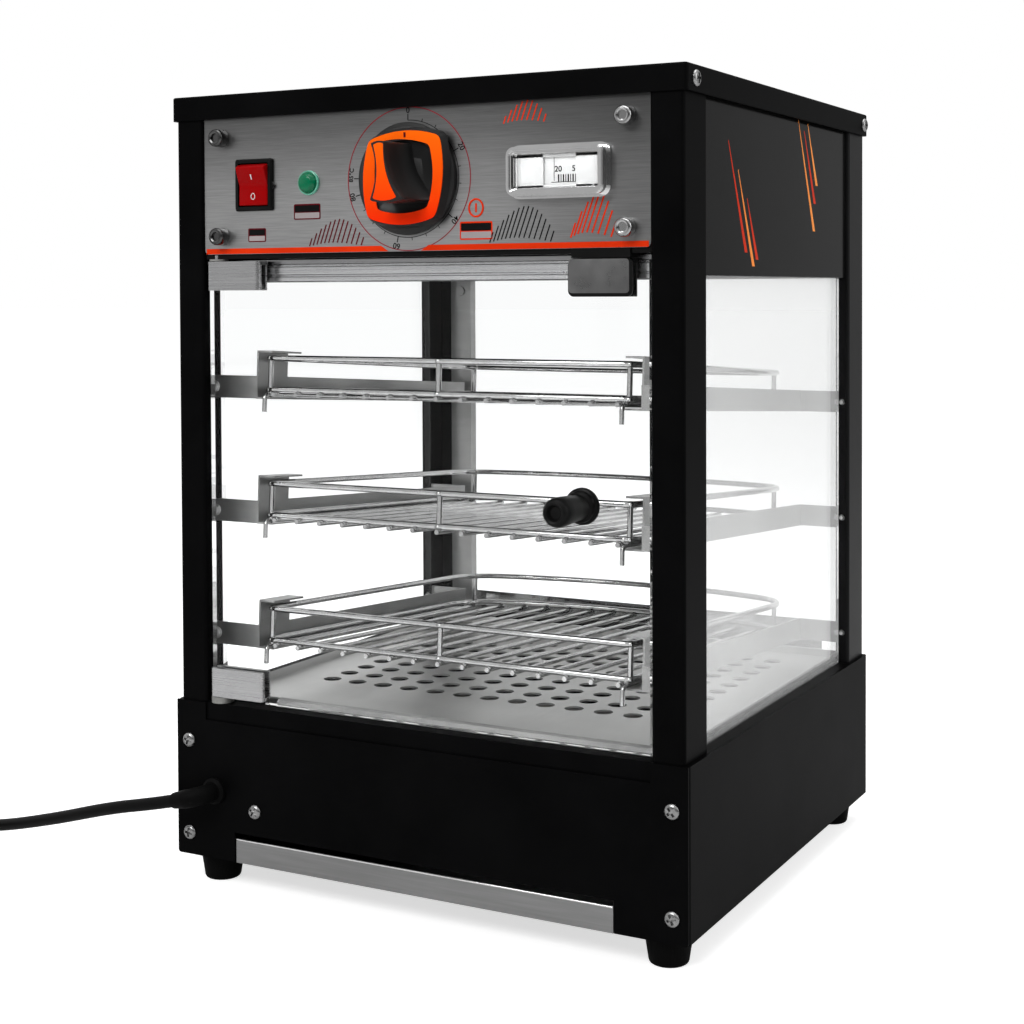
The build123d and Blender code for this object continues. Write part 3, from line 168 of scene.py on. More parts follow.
def object_place(tree):
    """The place on the object, in metres."""
    return tree.nodes.new("ShaderNodeTexCoord").outputs["Object"]


def split_place(tree):
    """The three axes of the place on the object."""
    return add_node(tree, "ShaderNodeSeparateXYZ", Vector=object_place(tree)).outputs

# %% Material helpers
def new_finish(name, **values):
    """A material with one Principled shader, its node tree, and the shader."""
    material = bpy.data.materials.new(name)
    material.use_nodes = True
    shader = find_node(material.node_tree, "BSDF_PRINCIPLED")
    for socket, value in values.items():
        shader.inputs[socket.replace("_", " ")].default_value = value
    return material, material.node_tree, shader


def paint(piece, material):
    """Gives a piece one material."""
    piece.data.materials.clear()
    piece.data.materials.append(material)


def finish_nodes(material, *names):
    """Gives CAD pieces one material in every slot of their mesh."""
    for name in names:
        for slot in nodes[name].material_slots:
            slot.material = material
    print(material.name, "on", ", ".join(names))

# %% [markdown]
# ## Effects that several finishes share
#
# Real metal and plastic are never perfectly even. Powder coat has a fine orange-peel texture, brushed
# steel has long fine scratches, and every surface carries faint smudges. Each of these effects is a node
# group, built once, and placed in each material with that material's own numbers.

# %% Node group helpers
def new_group(name, inputs, outputs):
    """An empty shader node group with named number sockets."""
    group = bpy.data.node_groups.new(name, "ShaderNodeTree")
    for label, value in inputs.items():
        socket = group.interface.new_socket(label, in_out="INPUT", socket_type="NodeSocketFloat")
        socket.default_value = value
    for label in outputs:
        group.interface.new_socket(label, in_out="OUTPUT", socket_type="NodeSocketFloat")
    return group, group.nodes.new("NodeGroupInput").outputs, group.nodes.new("NodeGroupOutput").inputs


def uneven_roughness(group, given, mask):
    """The base roughness, raised and lowered by a mask."""
    centred = math_node(group, "SUBTRACT", mask, 0.5)
    spread = math_node(group, "MULTIPLY", centred, given["Roughness Spread"])
    return math_node(group, "ADD", spread, given["Base Roughness"], True)

# %% Orange peel and smudges
peel, peel_in, peel_out = new_group(
    "coat_texture",
    {"Grain Size": 1200.0, "Base Roughness": 0.4, "Roughness Spread": 0.15},
    ["Roughness", "Height", "Smudge"],
)
peel_place = object_place(peel)
grain = noise_node(peel, peel_place, peel_in["Grain Size"], 3.0, 0.55)
smudge = noise_node(peel, peel_place, 14.0, 4.0, 0.6)
feed(peel, peel_out["Roughness"], uneven_roughness(peel, peel_in, smudge))
feed(peel, peel_out["Height"], grain)
feed(peel, peel_out["Smudge"], smudge)
print("group", peel.name)

# %% Brushed lines
brushed, brushed_in, brushed_out = new_group(
    "brushed_lines",
    {"Along X": 6.0, "Along Y": 900.0, "Along Z": 900.0, "Base Roughness": 0.3, "Roughness Spread": 0.2},
    ["Roughness", "Height", "Streak", "Smudge"],
)
brushed_place = object_place(brushed)
stretch = add_node(brushed, "ShaderNodeCombineXYZ", **{axis: brushed_in["Along " + axis] for axis in "XYZ"})
scaled = add_node(brushed, "ShaderNodeVectorMath", {"operation": "MULTIPLY"})
feed(brushed, scaled.inputs[0], brushed_place)
feed(brushed, scaled.inputs[1], stretch.outputs[0])
fine = noise_node(brushed, scaled.outputs[0], 1.0, 3.0, 0.6)
broad = noise_node(brushed, scaled.outputs[0], 0.22, 2.0, 0.5)
streak = math_node(
    brushed, "ADD", math_node(brushed, "MULTIPLY", fine, 0.75), math_node(brushed, "MULTIPLY", broad, 0.25)
)
feed(brushed, brushed_out["Roughness"], uneven_roughness(brushed, brushed_in, streak))
feed(brushed, brushed_out["Height"], streak)
feed(brushed, brushed_out["Streak"], streak)
feed(brushed, brushed_out["Smudge"], noise_node(brushed, brushed_place, 16.0, 3.0, 0.55))
print("group", brushed.name)

# %% Finishes built on the effects
def colour_of(value):
    """A colour from one level of grey, or from three levels."""
    return (value,) * 3 if isinstance(value, (int, float)) else value


def tint(tree, mask, dark, light, low=0.3, high=0.7):
    """A colour that runs from dark to light as the mask goes from low to high."""
    ramp = add_node(tree, "ShaderNodeValToRGB", Fac=mask)
    for stop, place, colour in zip(ramp.color_ramp.elements, (low, high), (dark, light)):
        stop.position = place
        stop.color = (*colour_of(colour), 1)
    return ramp.outputs["Color"]


def dress(name, group, mask, dark, light, relief, strength, values, **numbers):
    """A material that takes its roughness and relief from a group. Relief is in micrometres."""
    material, tree, shader = new_finish(name, **values)
    effect = add_node(tree, "ShaderNodeGroup", {"node_tree": group}, **numbers).outputs
    bump = add_node(tree, "ShaderNodeBump", Strength=strength, Distance=relief * 0.001 * MM, Height=effect["Height"])
    feed(tree, shader.inputs["Base Color"], tint(tree, mask(tree, effect), dark, light))
    feed(tree, shader.inputs["Roughness"], effect["Roughness"])
    feed(tree, shader.inputs["Normal"], bump.outputs["Normal"])
    return material


def coated(name, dark, light, grain, roughness, spread, relief, specular=0.5):
    """A painted or moulded finish with fine grain and faint smudges."""
    return dress(
        name, peel, lambda tree, effect: effect["Smudge"], dark, light, relief, 0.5,
        {"Specular_IOR_Level": specular}, Grain_Size=grain, Base_Roughness=roughness, Roughness_Spread=spread,
    )


def worked_metal(name, dark, light, along, roughness, spread, relief, cloudy=0.0, metallic=1.0):
    """A metal finish with long fine lines. Along holds how fast the lines change on X, Y and Z."""
    def mask(tree, effect):
        if not cloudy:
            return effect["Streak"]
        lines = math_node(tree, "MULTIPLY", effect["Streak"], 1 - cloudy)
        return math_node(tree, "ADD", lines, math_node(tree, "MULTIPLY", effect["Smudge"], cloudy))

    return dress(
        name, brushed, mask, dark, light, relief, 0.3, {"Metallic": metallic}, Along_X=along[0], Along_Y=along[1],
        Along_Z=along[2], Base_Roughness=roughness, Roughness_Spread=spread,
    )


def darkened(material, kind, *fades):
    """Darkens a finish along some axes. A fade holds its axis, start and end, and the share left there."""
    tree = material.node_tree
    base_socket = find_node(tree, "BSDF_PRINCIPLED").inputs["Base Color"]
    place = split_place(tree)
    shares = [fade_node(tree, place[axis], start, end, 1.0, left, kind) for axis, start, end, left in fades]
    share = shares.pop(0)
    for other in shares:
        share = math_node(tree, "MULTIPLY", share, other)
    darker = add_node(tree, "ShaderNodeVectorMath", {"operation": "SCALE"}, Scale=share)
    feed(tree, darker.inputs[0], base_socket.links[0].from_socket)
    feed(tree, base_socket, darker.outputs[0])
    return material

# %% [markdown]
# ## Painted sheet metal
#
# The base, posts and lid are folded sheet with a black powder coat. It is almost black and reflects
# little, so the colour is very dark and the specular level is low. A bump of a few hundredths of a
# millimetre gives its fine texture. The upper side and rear panels are smoother and shine more.

# %% Black coats
powder_coat = coated("powder_coat", (0.0014, 0.0014, 0.0015), (0.0030, 0.0030, 0.0032), 1500, 0.40, 0.14, 30, 0.015)
finish_nodes(
    powder_coat, "base_front_plate", "base_shell", "base_deck", "base_bottom", "top_lid", "post_front_left",
    "post_front_right",
)
# Painted light: the rear posts get a lighter copy of the black powder coat, where more light falls on them.
lit_rear_post_coat = coated(
    "powder_coat_lit_copy", (0.0040, 0.0040, 0.0043), (0.0075, 0.0075, 0.008), 1500, 0.36, 0.14, 30, 0.07
)
finish_nodes(lit_rear_post_coat, "post_rear_left", "post_rear_right")
finish_nodes(coated("shelf_coat", 0.003, 0.006, 1300, 0.42, 0.12, 30, 0.06), "control_shelf", "magnet_catch")
gloss_coat = coated("gloss_coat", 0.004, 0.006, 500, 0.14, 0.08, 10, 0.05)
finish_nodes(gloss_coat, "side_panel_left", "side_panel_right", "rear_panel")

# %% [markdown]
# ## Bare metals
#
# Each metal part was worked in its own way. The fascia is brushed along its length, and painted shade
# darkens its top edge under the lid and its right end. The floor pan is rolled stainless with cloudy
# reflections, the rails are dull plated steel, and the wires are polished. The tray's front strip stays
# bright, and painted shade darkens the rest, under the pan. Lines run along the axis with the small number.

# %% Metals
fascia_steel = worked_metal("fascia_steel", 0.26, 0.42, (45, 900, 2600), 0.34, 0.12, 20, 0.12)
# Painted shade: the fascia is painted darker towards its top edge, under the lid, and towards its right end.
darkened(fascia_steel, "SMOOTHSTEP", ("Z", 0.420, 0.490, 0.32), ("X", 0.02, 0.160, 0.50))
finish_nodes(fascia_steel, "control_fascia")
pan_steel = worked_metal("pan_steel", (0.42, 0.42, 0.415), (0.60, 0.60, 0.59), (260, 14, 260), 0.38, 0.2, 20, 0.5)
tray_steel = worked_metal("tray_steel", 0.20, 0.29, (18, 500, 500), 0.36, 0.15, 20, 0.3)
# Painted shade: behind its front strip the tray is painted much darker, under the pierced pan.
finish_nodes(darkened(tray_steel, "LINEAR", ("Y", -0.146, -0.140, 0.12)), "crumb_tray")
plated_steel = worked_metal(
    "plated_steel", 0.16, (0.34, 0.34, 0.335), (60, 25, 300), 0.32, 0.15, 20, 0.7, metallic=0.6
)
RAILS = ["shelf_rail_%s_%s" % (level, side) for level in ("bottom", "middle", "top") for side in ("left", "right")]
finish_nodes(plated_steel, *RAILS, "heater_brackets", "wire_duct_cover")
satin_aluminium = worked_metal(
    "satin_aluminium", (0.34, 0.34, 0.345), (0.50, 0.50, 0.505), (20, 700, 900), 0.28, 0.2, 20, 0.3
)
finish_nodes(satin_aluminium, "hinge_clamp_bottom", "hinge_clamp_top")
header_aluminium = worked_metal(
    "header_aluminium", (0.28, 0.28, 0.285), (0.44, 0.44, 0.445), (8, 900, 1400), 0.24, 0.2, 20, 0.2
)
striker_steel = worked_metal("striker_steel", 0.11, 0.24, (160, 160, 160), 0.3, 0.25, 30, 0.85)
wire_chrome = worked_metal("wire_chrome", 0.30, 0.50, (90, 90, 90), 0.06, 0.1, 10, 0.5)
screw_zinc = worked_metal("screw_zinc", 0.20, 0.34, (500, 500, 500), 0.26, 0.2, 20)
finish_nodes(screw_zinc, "door_knob_screw", "thermostat_shaft")
dull_zinc = worked_metal("dull_zinc", 0.45, 0.70, (500, 500, 500), 0.36, 0.2, 20, metallic=0.5)
channel_steel = worked_metal("channel_steel", 0.22, 0.34, (30, 300, 300), 0.12, 0.1, 10, 0.4)
# Painted shade: a darker copy of the stud chrome, for the left pair of studs.
stud_chrome_shaded = worked_metal("stud_chrome_shaded", 0.05, 0.12, (60, 60, 60), 0.2, 0.1, 10, 0.6)
stud_chrome = worked_metal("stud_chrome", 0.26, 0.42, (60, 60, 60), 0.14, 0.1, 10, 0.6)
bright_chrome = worked_metal("bright_chrome", 0.62, 0.80, (40, 40, 40), 0.08, 0.06, 10, 0.5)
heater_steel = worked_metal("heater_steel", (0.12, 0.11, 0.10), (0.24, 0.22, 0.20), (80, 80, 80), 0.45, 0.2, 30, 0.6)
finish_nodes(heater_steel, "heating_element")

# %% [markdown]
# ## Plastics, rubber and print
#
# Moulded parts have a fine spark-eroded texture and a soft sheen. The rocker and the lamp are glossier,
# and rubber is matt. The orange insets carry painted light: their colour runs from deep orange low down
# to bright orange at the top. The printed marks on the fascia are a thin even ink.

# %% Plastics
black_plastic = coated("black_plastic", 0.004, 0.008, 1100, 0.32, 0.12, 30, 0.07)
finish_nodes(black_plastic, "thermostat_body")
knob_plastic = coated("knob_plastic", 0.008, 0.013, 900, 0.40, 0.1, 10, 0.25)
matt_rubber = coated("matt_rubber", 0.002, 0.004, 800, 0.55, 0.12, 40, 0.03)
finish_nodes(matt_rubber, "cord_gland")
cord_rubber = coated("cord_rubber", 0.003, 0.006, 600, 0.45, 0.15, 30, 0.04)
red_plastic = coated("red_plastic", (0.25, 0.001, 0.0015), (0.31, 0.001, 0.002), 900, 0.2, 0.06, 10, 0.05)
orange_plastic = coated("orange_plastic", (0.92, 0.060, 0.001), (1.0, 0.100, 0.002), 900, 0.35, 0.1, 10, 0.04)
white_plastic = coated("white_plastic", 0.50, 0.58, 900, 0.4, 0.1, 10)
finish_nodes(white_plastic, "thermometer_plate")
finish_nodes(coated("nylon", (0.16, 0.16, 0.15), (0.22, 0.22, 0.21), 700, 0.45, 0.1, 20), "hinge_bushes")
green_lens = coated("green_lens", (0.0, 0.11, 0.045), (0.0, 0.16, 0.070), 400, 0.14, 0.04, 10, 0.25)
lens_rim_green = coated("lens_rim_green", (0.10, 0.40, 0.28), (0.16, 0.50, 0.36), 400, 0.15, 0.05, 10)

# Painted light: the orange insets are painted brighter towards the top.
painted_light_tree = orange_plastic.node_tree
painted_light_height = fade_node(painted_light_tree, split_place(painted_light_tree)["Z"], CONTROL_Z - 24 * MM, CONTROL_Z + 26 * MM)
painted_light_orange = tint(painted_light_tree, painted_light_height, (0.86, 0.024, 0.001), (1.0, 0.135, 0.002), 0.0, 1.0)
feed(painted_light_tree, find_node(painted_light_tree, "BSDF_PRINCIPLED").inputs["Base Color"], painted_light_orange)

# %% Inks
black_ink = coated("black_ink", 0.003, 0.006, 1500, 0.4, 0.1, 5, 0.05)
maroon_ink = coated("maroon_ink", (0.075, 0.002, 0.006), (0.11, 0.003, 0.009), 1500, 0.4, 0.1, 5, 0.05)
dial_red = coated("dial_red", (0.20, 0.012, 0.020), (0.28, 0.018, 0.030), 1500, 0.4, 0.1, 5, 0.05)
orange_ink = coated("orange_ink", (0.55, 0.022, 0.002), (0.72, 0.035, 0.003), 900, 0.35, 0.1, 5, 0.05)
amber_ink = coated("amber_ink", (0.90, 0.22, 0.03), (1.0, 0.36, 0.08), 900, 0.35, 0.1, 5, 0.05)
white_ink = coated("white_ink", 0.62, 0.70, 1500, 0.4, 0.1, 5)
tag_grey = coated("tag_grey", (0.26, 0.23, 0.23), (0.34, 0.30, 0.30), 1500, 0.4, 0.1, 5)
print("finishes made:", len(bpy.data.materials))

# %% [markdown]
# ## Glass
#
# The panes are 4 to 5 mm thick. Cycles doesn't send lamp light through a glass shader without noisy
# caustics, so for shadow rays the material switches to Transparent, and the inside stays lit. A low
# index keeps the panes' glare low. On the right pane a fifth of the glass is a pale, diffuse white.

# %% Glass
def clear_glass(name, colour, index, clear=1.0):
    """A glass finish that lets the lamps' light through."""
    material, tree, shader = new_finish(
        name, Base_Color=(*colour, 1), Roughness=0.0, Transmission_Weight=clear, IOR=index
    )
    through = add_node(tree, "ShaderNodeBsdfTransparent", Color=(*colour, 1))
    shadow = tree.nodes.new("ShaderNodeLightPath").outputs["Is Shadow Ray"]
    mix = mix_shaders(tree, shadow, shader, through)
    feed(tree, find_node(tree, "OUTPUT_MATERIAL").inputs["Surface"], mix.outputs[0])
    return material


door_pane = clear_glass("door_pane", (0.98, 0.985, 0.985), 1.16)
finish_nodes(door_pane, "door_glass", "rear_glass", "side_glass_left", "thermometer_window")
# A fifth of the right pane is pale diffuse white instead of clear glass.
finish_nodes(clear_glass("side_pane", (0.97, 0.975, 0.975), 1.35, 0.80), "side_glass_right")

# %% [markdown]
# ## Helpers for modelling
#
# Every new piece starts as a primitive, is shaped in edit mode, and ends with its place in its mesh, so
# that its object sits at the origin. Three kinds of shape come up again and again: a piece turned on a
# lathe, a flat outline pushed out into a solid, and a wire bent along a route.

# %% Selecting and seating pieces
def only(*pieces):
    """Selects some pieces and nothing else. The first is the active one."""
    bpy.ops.object.select_all(action="DESELECT")
    for piece in pieces:
        piece.select_set(True)
    bpy.context.view_layer.objects.active = pieces[0]


def freeze(piece):
    """Puts the place of the object into its mesh."""
    only(piece)
    bpy.ops.object.transform_apply(location=True, rotation=True, scale=True)
    return piece


def join(pieces):
    """Joins frozen pieces into the first."""
    only(*pieces)
    bpy.ops.object.join()
    return pieces[0]


def seat(piece, name, material, slot, *replaced, body="cabinet", angle=32):
    """Names a finished piece, shades it, and hangs it on its body."""
    freeze(piece)
    bpy.ops.object.shade_smooth_by_angle(angle=math.radians(angle))
    piece.name = name
    paint(piece, material)
    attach(piece, body)
    if replaced:
        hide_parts(*replaced)
    print(name, "has", len(piece.data.polygons), "faces and rides on", body)
    return piece


def copy_of(piece, place, turn=ORIGIN):
    """A copy with its own mesh, moved and turned, then frozen."""
    twin = piece.copy()
    twin.data = piece.data.copy()
    bpy.context.collection.objects.link(twin)
    twin.location = place
    twin.rotation_euler = turn
    return freeze(twin)


def apply_modifier(piece, kind, **settings):
    """Adds a modifier to a piece and applies it."""
    only(piece)
    modifier = piece.modifiers.new(kind.lower(), kind)
    for setting, value in settings.items():
        setattr(modifier, setting, value)
    bpy.ops.object.modifier_apply(modifier=modifier.name)


def cut_away(piece, cutter):
    """Takes the cutter's shape out of the piece, and removes the cutter."""
    apply_modifier(piece, "BOOLEAN", operation="DIFFERENCE", object=cutter)
    bpy.data.objects.remove(cutter)

# %% Working in edit mode
def edit_all():
    """Enters edit mode with the whole mesh selected."""
    bpy.ops.object.mode_set(mode="EDIT")
    bpy.ops.mesh.select_all(action="SELECT")


def outwards():
    """Turns every face outwards and leaves edit mode."""
    bpy.ops.mesh.select_all(action="SELECT")
    bpy.ops.mesh.normals_make_consistent(inside=False)
    bpy.ops.object.mode_set(mode="OBJECT")


def merge_doubles():
    """Merges the points that lie on one another."""
    bpy.ops.mesh.select_all(action="SELECT")
    bpy.ops.mesh.remove_doubles(threshold=0.002 * MM)


def ease_edges(width, segments):
    """Bevels every edge of the active piece."""
    edit_all()
    bpy.ops.mesh.bevel(offset=width * MM, segments=segments, affect="EDGES")
    bpy.ops.object.mode_set(mode="OBJECT")


def push(x=0.0, y=0.0, z=0.0):
    """Extrudes the selected face."""
    bpy.ops.mesh.extrude_region_move(TRANSFORM_OT_translate={"value": (x * MM, y * MM, z * MM)})


def inset(thickness):
    """Draws the selected face inwards, inside a new rim."""
    bpy.ops.mesh.inset(thickness=thickness * MM)


def resize(centre, wide, tall):
    """Scales what is selected across and up, about a centre."""
    bpy.ops.transform.resize(value=(wide, 1, tall), center_override=centre)

# %% Drawing and turning
def near(origin, points):
    """Points given in millimetres from an origin."""
    return [tuple(start + step * MM for start, step in zip(origin, point)) for point in points]


def on_front(pairs, origin, back=0.0):
    """Lays an outline on a plane that faces the front, at a distance behind an origin."""
    return near(origin, [(across, back, rise) for across, rise in pairs])


def first_point(place):
    """A mesh of one vertex, in edit mode: a tiny plane merged to its centre."""
    bpy.ops.mesh.primitive_plane_add(size=MM, location=place)
    piece = freeze(bpy.context.object)
    edit_all()
    bpy.ops.mesh.merge(type="CENTER")
    return piece


def draw_line(points):
    """Extrudes the one vertex from point to point."""
    for here, there in zip(points, points[1:]):
        step = Vector(there) - Vector(here)
        bpy.ops.mesh.extrude_region_move(TRANSFORM_OT_translate={"value": step})


def turned(outline, place, steps=48):
    """A piece turned about an axis that runs front to back. Points are radius and distance forward."""
    points = near(place, [(radius, -out, 0) for radius, out in outline])
    piece = first_point(points[0])
    draw_line(points)
    bpy.ops.mesh.select_all(action="SELECT")
    bpy.ops.mesh.spin(steps=steps, angle=math.tau, center=place, axis=(0, 1, 0))
    merge_doubles()
    outwards()
    return piece


def drawn_face(points):
    """A flat face with the given outline, left in edit mode with the face selected."""
    piece = first_point(points[0])
    draw_line(points)
    bpy.ops.mesh.select_all(action="SELECT")
    bpy.ops.mesh.edge_face_add()
    return piece


def slab(points, x=0.0, y=0.0, z=0.0):
    """A flat outline pushed out into a solid."""
    piece = drawn_face(points)
    push(x, y, z)
    outwards()
    return piece


def block(origin, low, high, bevel=0.0, segments=2):
    """A straight block between two corners, with its edges eased."""
    low, high = near(origin, (low, high))
    middle = [(a + b) / 2 for a, b in zip(low, high)]
    bpy.ops.mesh.primitive_cube_add(size=1, location=middle, scale=[b - a for a, b in zip(low, high)])
    if bevel:
        ease_edges(bevel, segments)
    return freeze(bpy.context.object)


def rounded_corners(half_w, half_h, radius, steps=6):
    """The outline of a rounded rectangle, as pairs about its middle."""
    pairs = []
    for k, (side, way) in enumerate(((1, 1), (-1, 1), (-1, -1), (1, -1))):
        for step in range(steps + 1):
            angle = math.pi / 2 * (k + step / steps)
            across = side * (half_w - radius) + radius * math.cos(angle)
            pairs.append((across, way * (half_h - radius) + radius * math.sin(angle)))
    return pairs

# %% Bending wire
def bent_wire(route, radius, closed=False):
    """A round wire along a route. A path with a bevel depth is turned into a mesh."""
    bpy.ops.curve.primitive_nurbs_path_add()
    wire = bpy.context.object
    wire.data.splines.clear()
    line = wire.data.splines.new("POLY")
    line.points.add(len(route) - 1)
    for point, place in zip(line.points, route):
        point.co = (*place, 1)
    line.use_cyclic_u = closed
    wire.data.bevel_depth = radius * MM
    wire.data.bevel_resolution = 3
    wire.data.use_fill_caps = True
    only(wire)
    bpy.ops.object.convert(target="MESH")
    bpy.ops.object.mode_set(mode="EDIT")
    merge_doubles()
    outwards()
    return bpy.context.object


def weld_bead(place, radius, flat=0.7):
    """A small flattened blob of metal where two wires were welded."""
    bpy.ops.mesh.primitive_uv_sphere_add(
        segments=12, ring_count=8, radius=radius * MM, location=place, scale=(1, 1, flat)
    )
    return freeze(bpy.context.object)

# %% [markdown]
# ## The power cord
#
# A mains lead is stiff for its thickness, so it leaves the strain relief straight, falls gently to the
# table and runs to the put-away coil just outside the picture. It is one NURBS spline, whose order is
# set after its points are added. The coil is two layers of half turns, worked out by a loop.

# %% Cord route
CORD_D = 0.008
CORD_Z = 0.0042
COIL_CENTRE = Vector((-0.404, -0.191))
COIL_R = 0.055
COIL_STEP = 0.0044
COIL_LAYER = 0.0086
PLUG_X = -0.460
free_points = [
    (-0.164906, -0.165, 0.056162),
    (-0.184312, -0.165, 0.051323),
    (-0.219, -0.1625, 0.0435),
    (-0.278, -0.152, 0.025),
    (-0.340, -0.140, 0.008),
    (-0.372, -0.136, CORD_Z),
    (-0.396, -0.136, CORD_Z),
]


def half_turn(route, here, radius, way, low, high):
    """Seven points along half a turn that starts at x = here, drawn about the coil's own middle."""
    centre = here - way * radius
    for k in range(1, 8):
        angle = math.pi * k / 7
        x = centre + way * radius * math.cos(angle)
        y = way * radius * math.sin(angle)
        route.append((x, y, low + (high - low) * k / 7))
    return centre - way * radius


def coil_route():
    """The turns: inwards on the table, up, and outwards again on top."""
    route = [(COIL_R, 0.0, CORD_Z)]
    here = COIL_R
    upper = CORD_Z + COIL_LAYER
    for k in range(5):
        here = half_turn(route, here, COIL_R - k * COIL_STEP, 1 if k % 2 == 0 else -1, CORD_Z, CORD_Z)
    here = half_turn(route, here, COIL_R - 5 * COIL_STEP, -1, CORD_Z, upper)
    for k in range(4):
        here = half_turn(route, here, COIL_R - (4 - k) * COIL_STEP, 1 if k % 2 == 0 else -1, upper, upper)
    route.append((here, 0.02, upper))
    return route, here


local_route, tail_x = coil_route()
coil_points = [(COIL_CENTRE.x - y, COIL_CENTRE.y + x, z) for x, y, z in local_route]
PLUG_Y = COIL_CENTRE.y + tail_x
PLUG_Z = CORD_Z + COIL_LAYER
PLUG = (PLUG_X, PLUG_Y, PLUG_Z)
all_points = free_points + coil_points + [PLUG]
print("cord route has", len(all_points), "points; the plug is at y", round(PLUG_Y, 4))

# %% [markdown]
# ## The plug
#
# A moulded plug has an oval body with a ribbed strain relief, two flat blades and a round earth pin. The
# body is a block with well rounded edges, and the pins are separate metal.

# %% Plug body and pins
plug_half = PLUG_Z / MM - 0.1
plug_parts = [block(PLUG, (-50, -13, -plug_half), (-15, 13, plug_half), 5, 5)]
plug_parts.append(bent_wire(near(PLUG, [ORIGIN, (-16, 0, 0)]), 4.8))
for k in range(5):
    bpy.ops.mesh.primitive_cylinder_add(
        vertices=28, radius=(5.2 + 0.4 * k) * MM, depth=2.2 * MM,
        location=(PLUG_X - (2 + 3 * k) * MM, PLUG_Y, PLUG_Z), rotation=(0, math.pi / 2, 0),
    )
    ease_edges(0.4, 2)
    plug_parts.append(freeze(bpy.context.object))
plug_body = join(plug_parts)
seat(plug_body, "plug_body", black_plastic, "black_plastic", "plug")
plug_pins = [
    block(PLUG, (-67, side * 6.35 - 0.75, -2), (-49.5, side * 6.35 + 0.75, 4), 0.3) for side in (-1, 1)
]
plug_pins.append(bent_wire(near(PLUG, [(-49.5, 0, -7), (-69, 0, -7)]), 2.4))
seat(join(plug_pins), "plug_pins", bright_chrome, "chrome")

# %% Cord
cord_data = bpy.data.curves.new("mains_lead", "CURVE")
cord_data.dimensions = "3D"
spline = cord_data.splines.new("NURBS")
spline.points.add(len(all_points) - 1)
for point, place in zip(spline.points, all_points):
    point.co = (*place, 1)
spline.order_u = 3
spline.use_endpoint_u = True
spline.resolution_u = 8
cord_data.bevel_depth = CORD_D / 2
cord_data.bevel_resolution = 6
cord_data.use_fill_caps = True
mains_lead = bpy.data.objects.new("mains_lead", cord_data)
bpy.context.collection.objects.link(mains_lead)
paint(mains_lead, cord_rubber)
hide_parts("power_cord", "cord_coil")
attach(mains_lead, "cabinet")

# %% [markdown]
# ## Screws
#
# Pan-head screws hold the front plate, the lid and the rails. A head is turned as a low dome, and the
# cross recess is two crossed bars cut away with Boolean modifiers. One screw is modelled, and each place
# gets a copy with its own mesh. A washer lies under the rails' screws, whose heights follow the rails,
# which lean down to the rear by 3.65 degrees.

# %% One pan head
def pan_head(radius, height, washer=0.0):
    """A screw head that faces the front and sits at the origin."""
    dome = [(0, 1), (0.35, 0.98), (0.66, 0.88), (0.88, 0.66), (0.985, 0.34), (1, 0.1), (1, 0)]
    raised = 0.8 if washer else 0
    outline = [(wide * radius, tall * height + raised) for wide, tall in dome]
    if washer:
        outline += [(washer - 0.3, 0.8), (washer, 0.5), (washer, 0)]
    outline += [(0.4 * radius, 0), (0.4 * radius, -4), (0, -4)]
    head = turned(outline, ORIGIN, 32)
    top = raised + height
    long, thin, deep = 0.62 * radius, 0.17 * radius, top - 0.75 * height
    for wide, tall in ((long, thin), (thin, long)):
        cut_away(head, block(ORIGIN, (-wide, -top - 1, -tall), (wide, -deep, tall)))
    return head


def screw_set(head, places, name, material, *replaced):
    """Copies one head to every place and turn, and seats the set as one piece."""
    heads = [copy_of(head, place, turn) for place, turn in places]
    bpy.data.objects.remove(head)
    seat(join(heads), name, material, "zinc", *replaced)

# %% Front plate and lid screws
LARGE_HEAD = (4.6, 2.2)
BASE_SCREWS = [(-165.5, 91), (165.5, 91), (-165.5, 32), (165.5, 32), (-114.7, 51.7)]
slants = (0.3, 0.9, 0.1, 1.2, 0.6)
front_places = [((x * MM, PLATE_Y, z * MM), (0, slant, 0)) for (x, z), slant in zip(BASE_SCREWS, slants)]
screw_set(pan_head(*LARGE_HEAD), front_places, "front_plate_screws", screw_zinc, "base_screws")
LID_SCREW_Z = LID_LOW.z + 7.3 * MM
lid_places = [
    ((side * LID_HIGH.x, y, LID_SCREW_Z), (0, 0, side * math.pi / 2))
    for side in (-1, 1)
    for y in (LID_LOW.y + 12.5 * MM, LID_HIGH.y - 8 * MM)
]
screw_set(pan_head(*LARGE_HEAD), lid_places, "lid_side_screws", screw_zinc, "lid_screws")

# %% Rail screws
RAIL_TILT = math.radians(3.65)
RAIL_SCREW_X = 0.1675
RAIL_Y = 0.1324
RAIL_FIRST_Z = 0.1463
RAIL_PITCH = 0.080
SCREW_ABOVE_RAIL = 7.35 * MM
SMALL_HEAD = (3.0, 1.4)
WASHER_R = 3.8
rail_places = []
for level in range(3):
    front_z = RAIL_FIRST_Z + level * RAIL_PITCH + SCREW_ABOVE_RAIL
    rear_z = front_z - 2 * RAIL_Y * math.tan(RAIL_TILT)
    for x in (-RAIL_SCREW_X, RAIL_SCREW_X):
        rail_places.append(((x, MIDDLE_Y - RAIL_Y, front_z), (0, 0.4 + level, 0)))
        rail_places.append(((x, MIDDLE_Y + RAIL_Y, rear_z), (0, 0.4 + level, math.pi)))
screw_set(pan_head(*SMALL_HEAD, WASHER_R), rail_places, "rail_strap_screws", dull_zinc, "rail_screws")

# %% [markdown]
# ## Wire racks
#
# Each rack is a shallow basket. Two rings of 4 mm wire make the rim, upright ties join them, and fifteen
# 3 mm wires run front to rear under the lower ring. The outermost pair of wires rests on the rails and
# ends in a peg bent down in front of them. The rear of the rim is a wide bow with large corners.

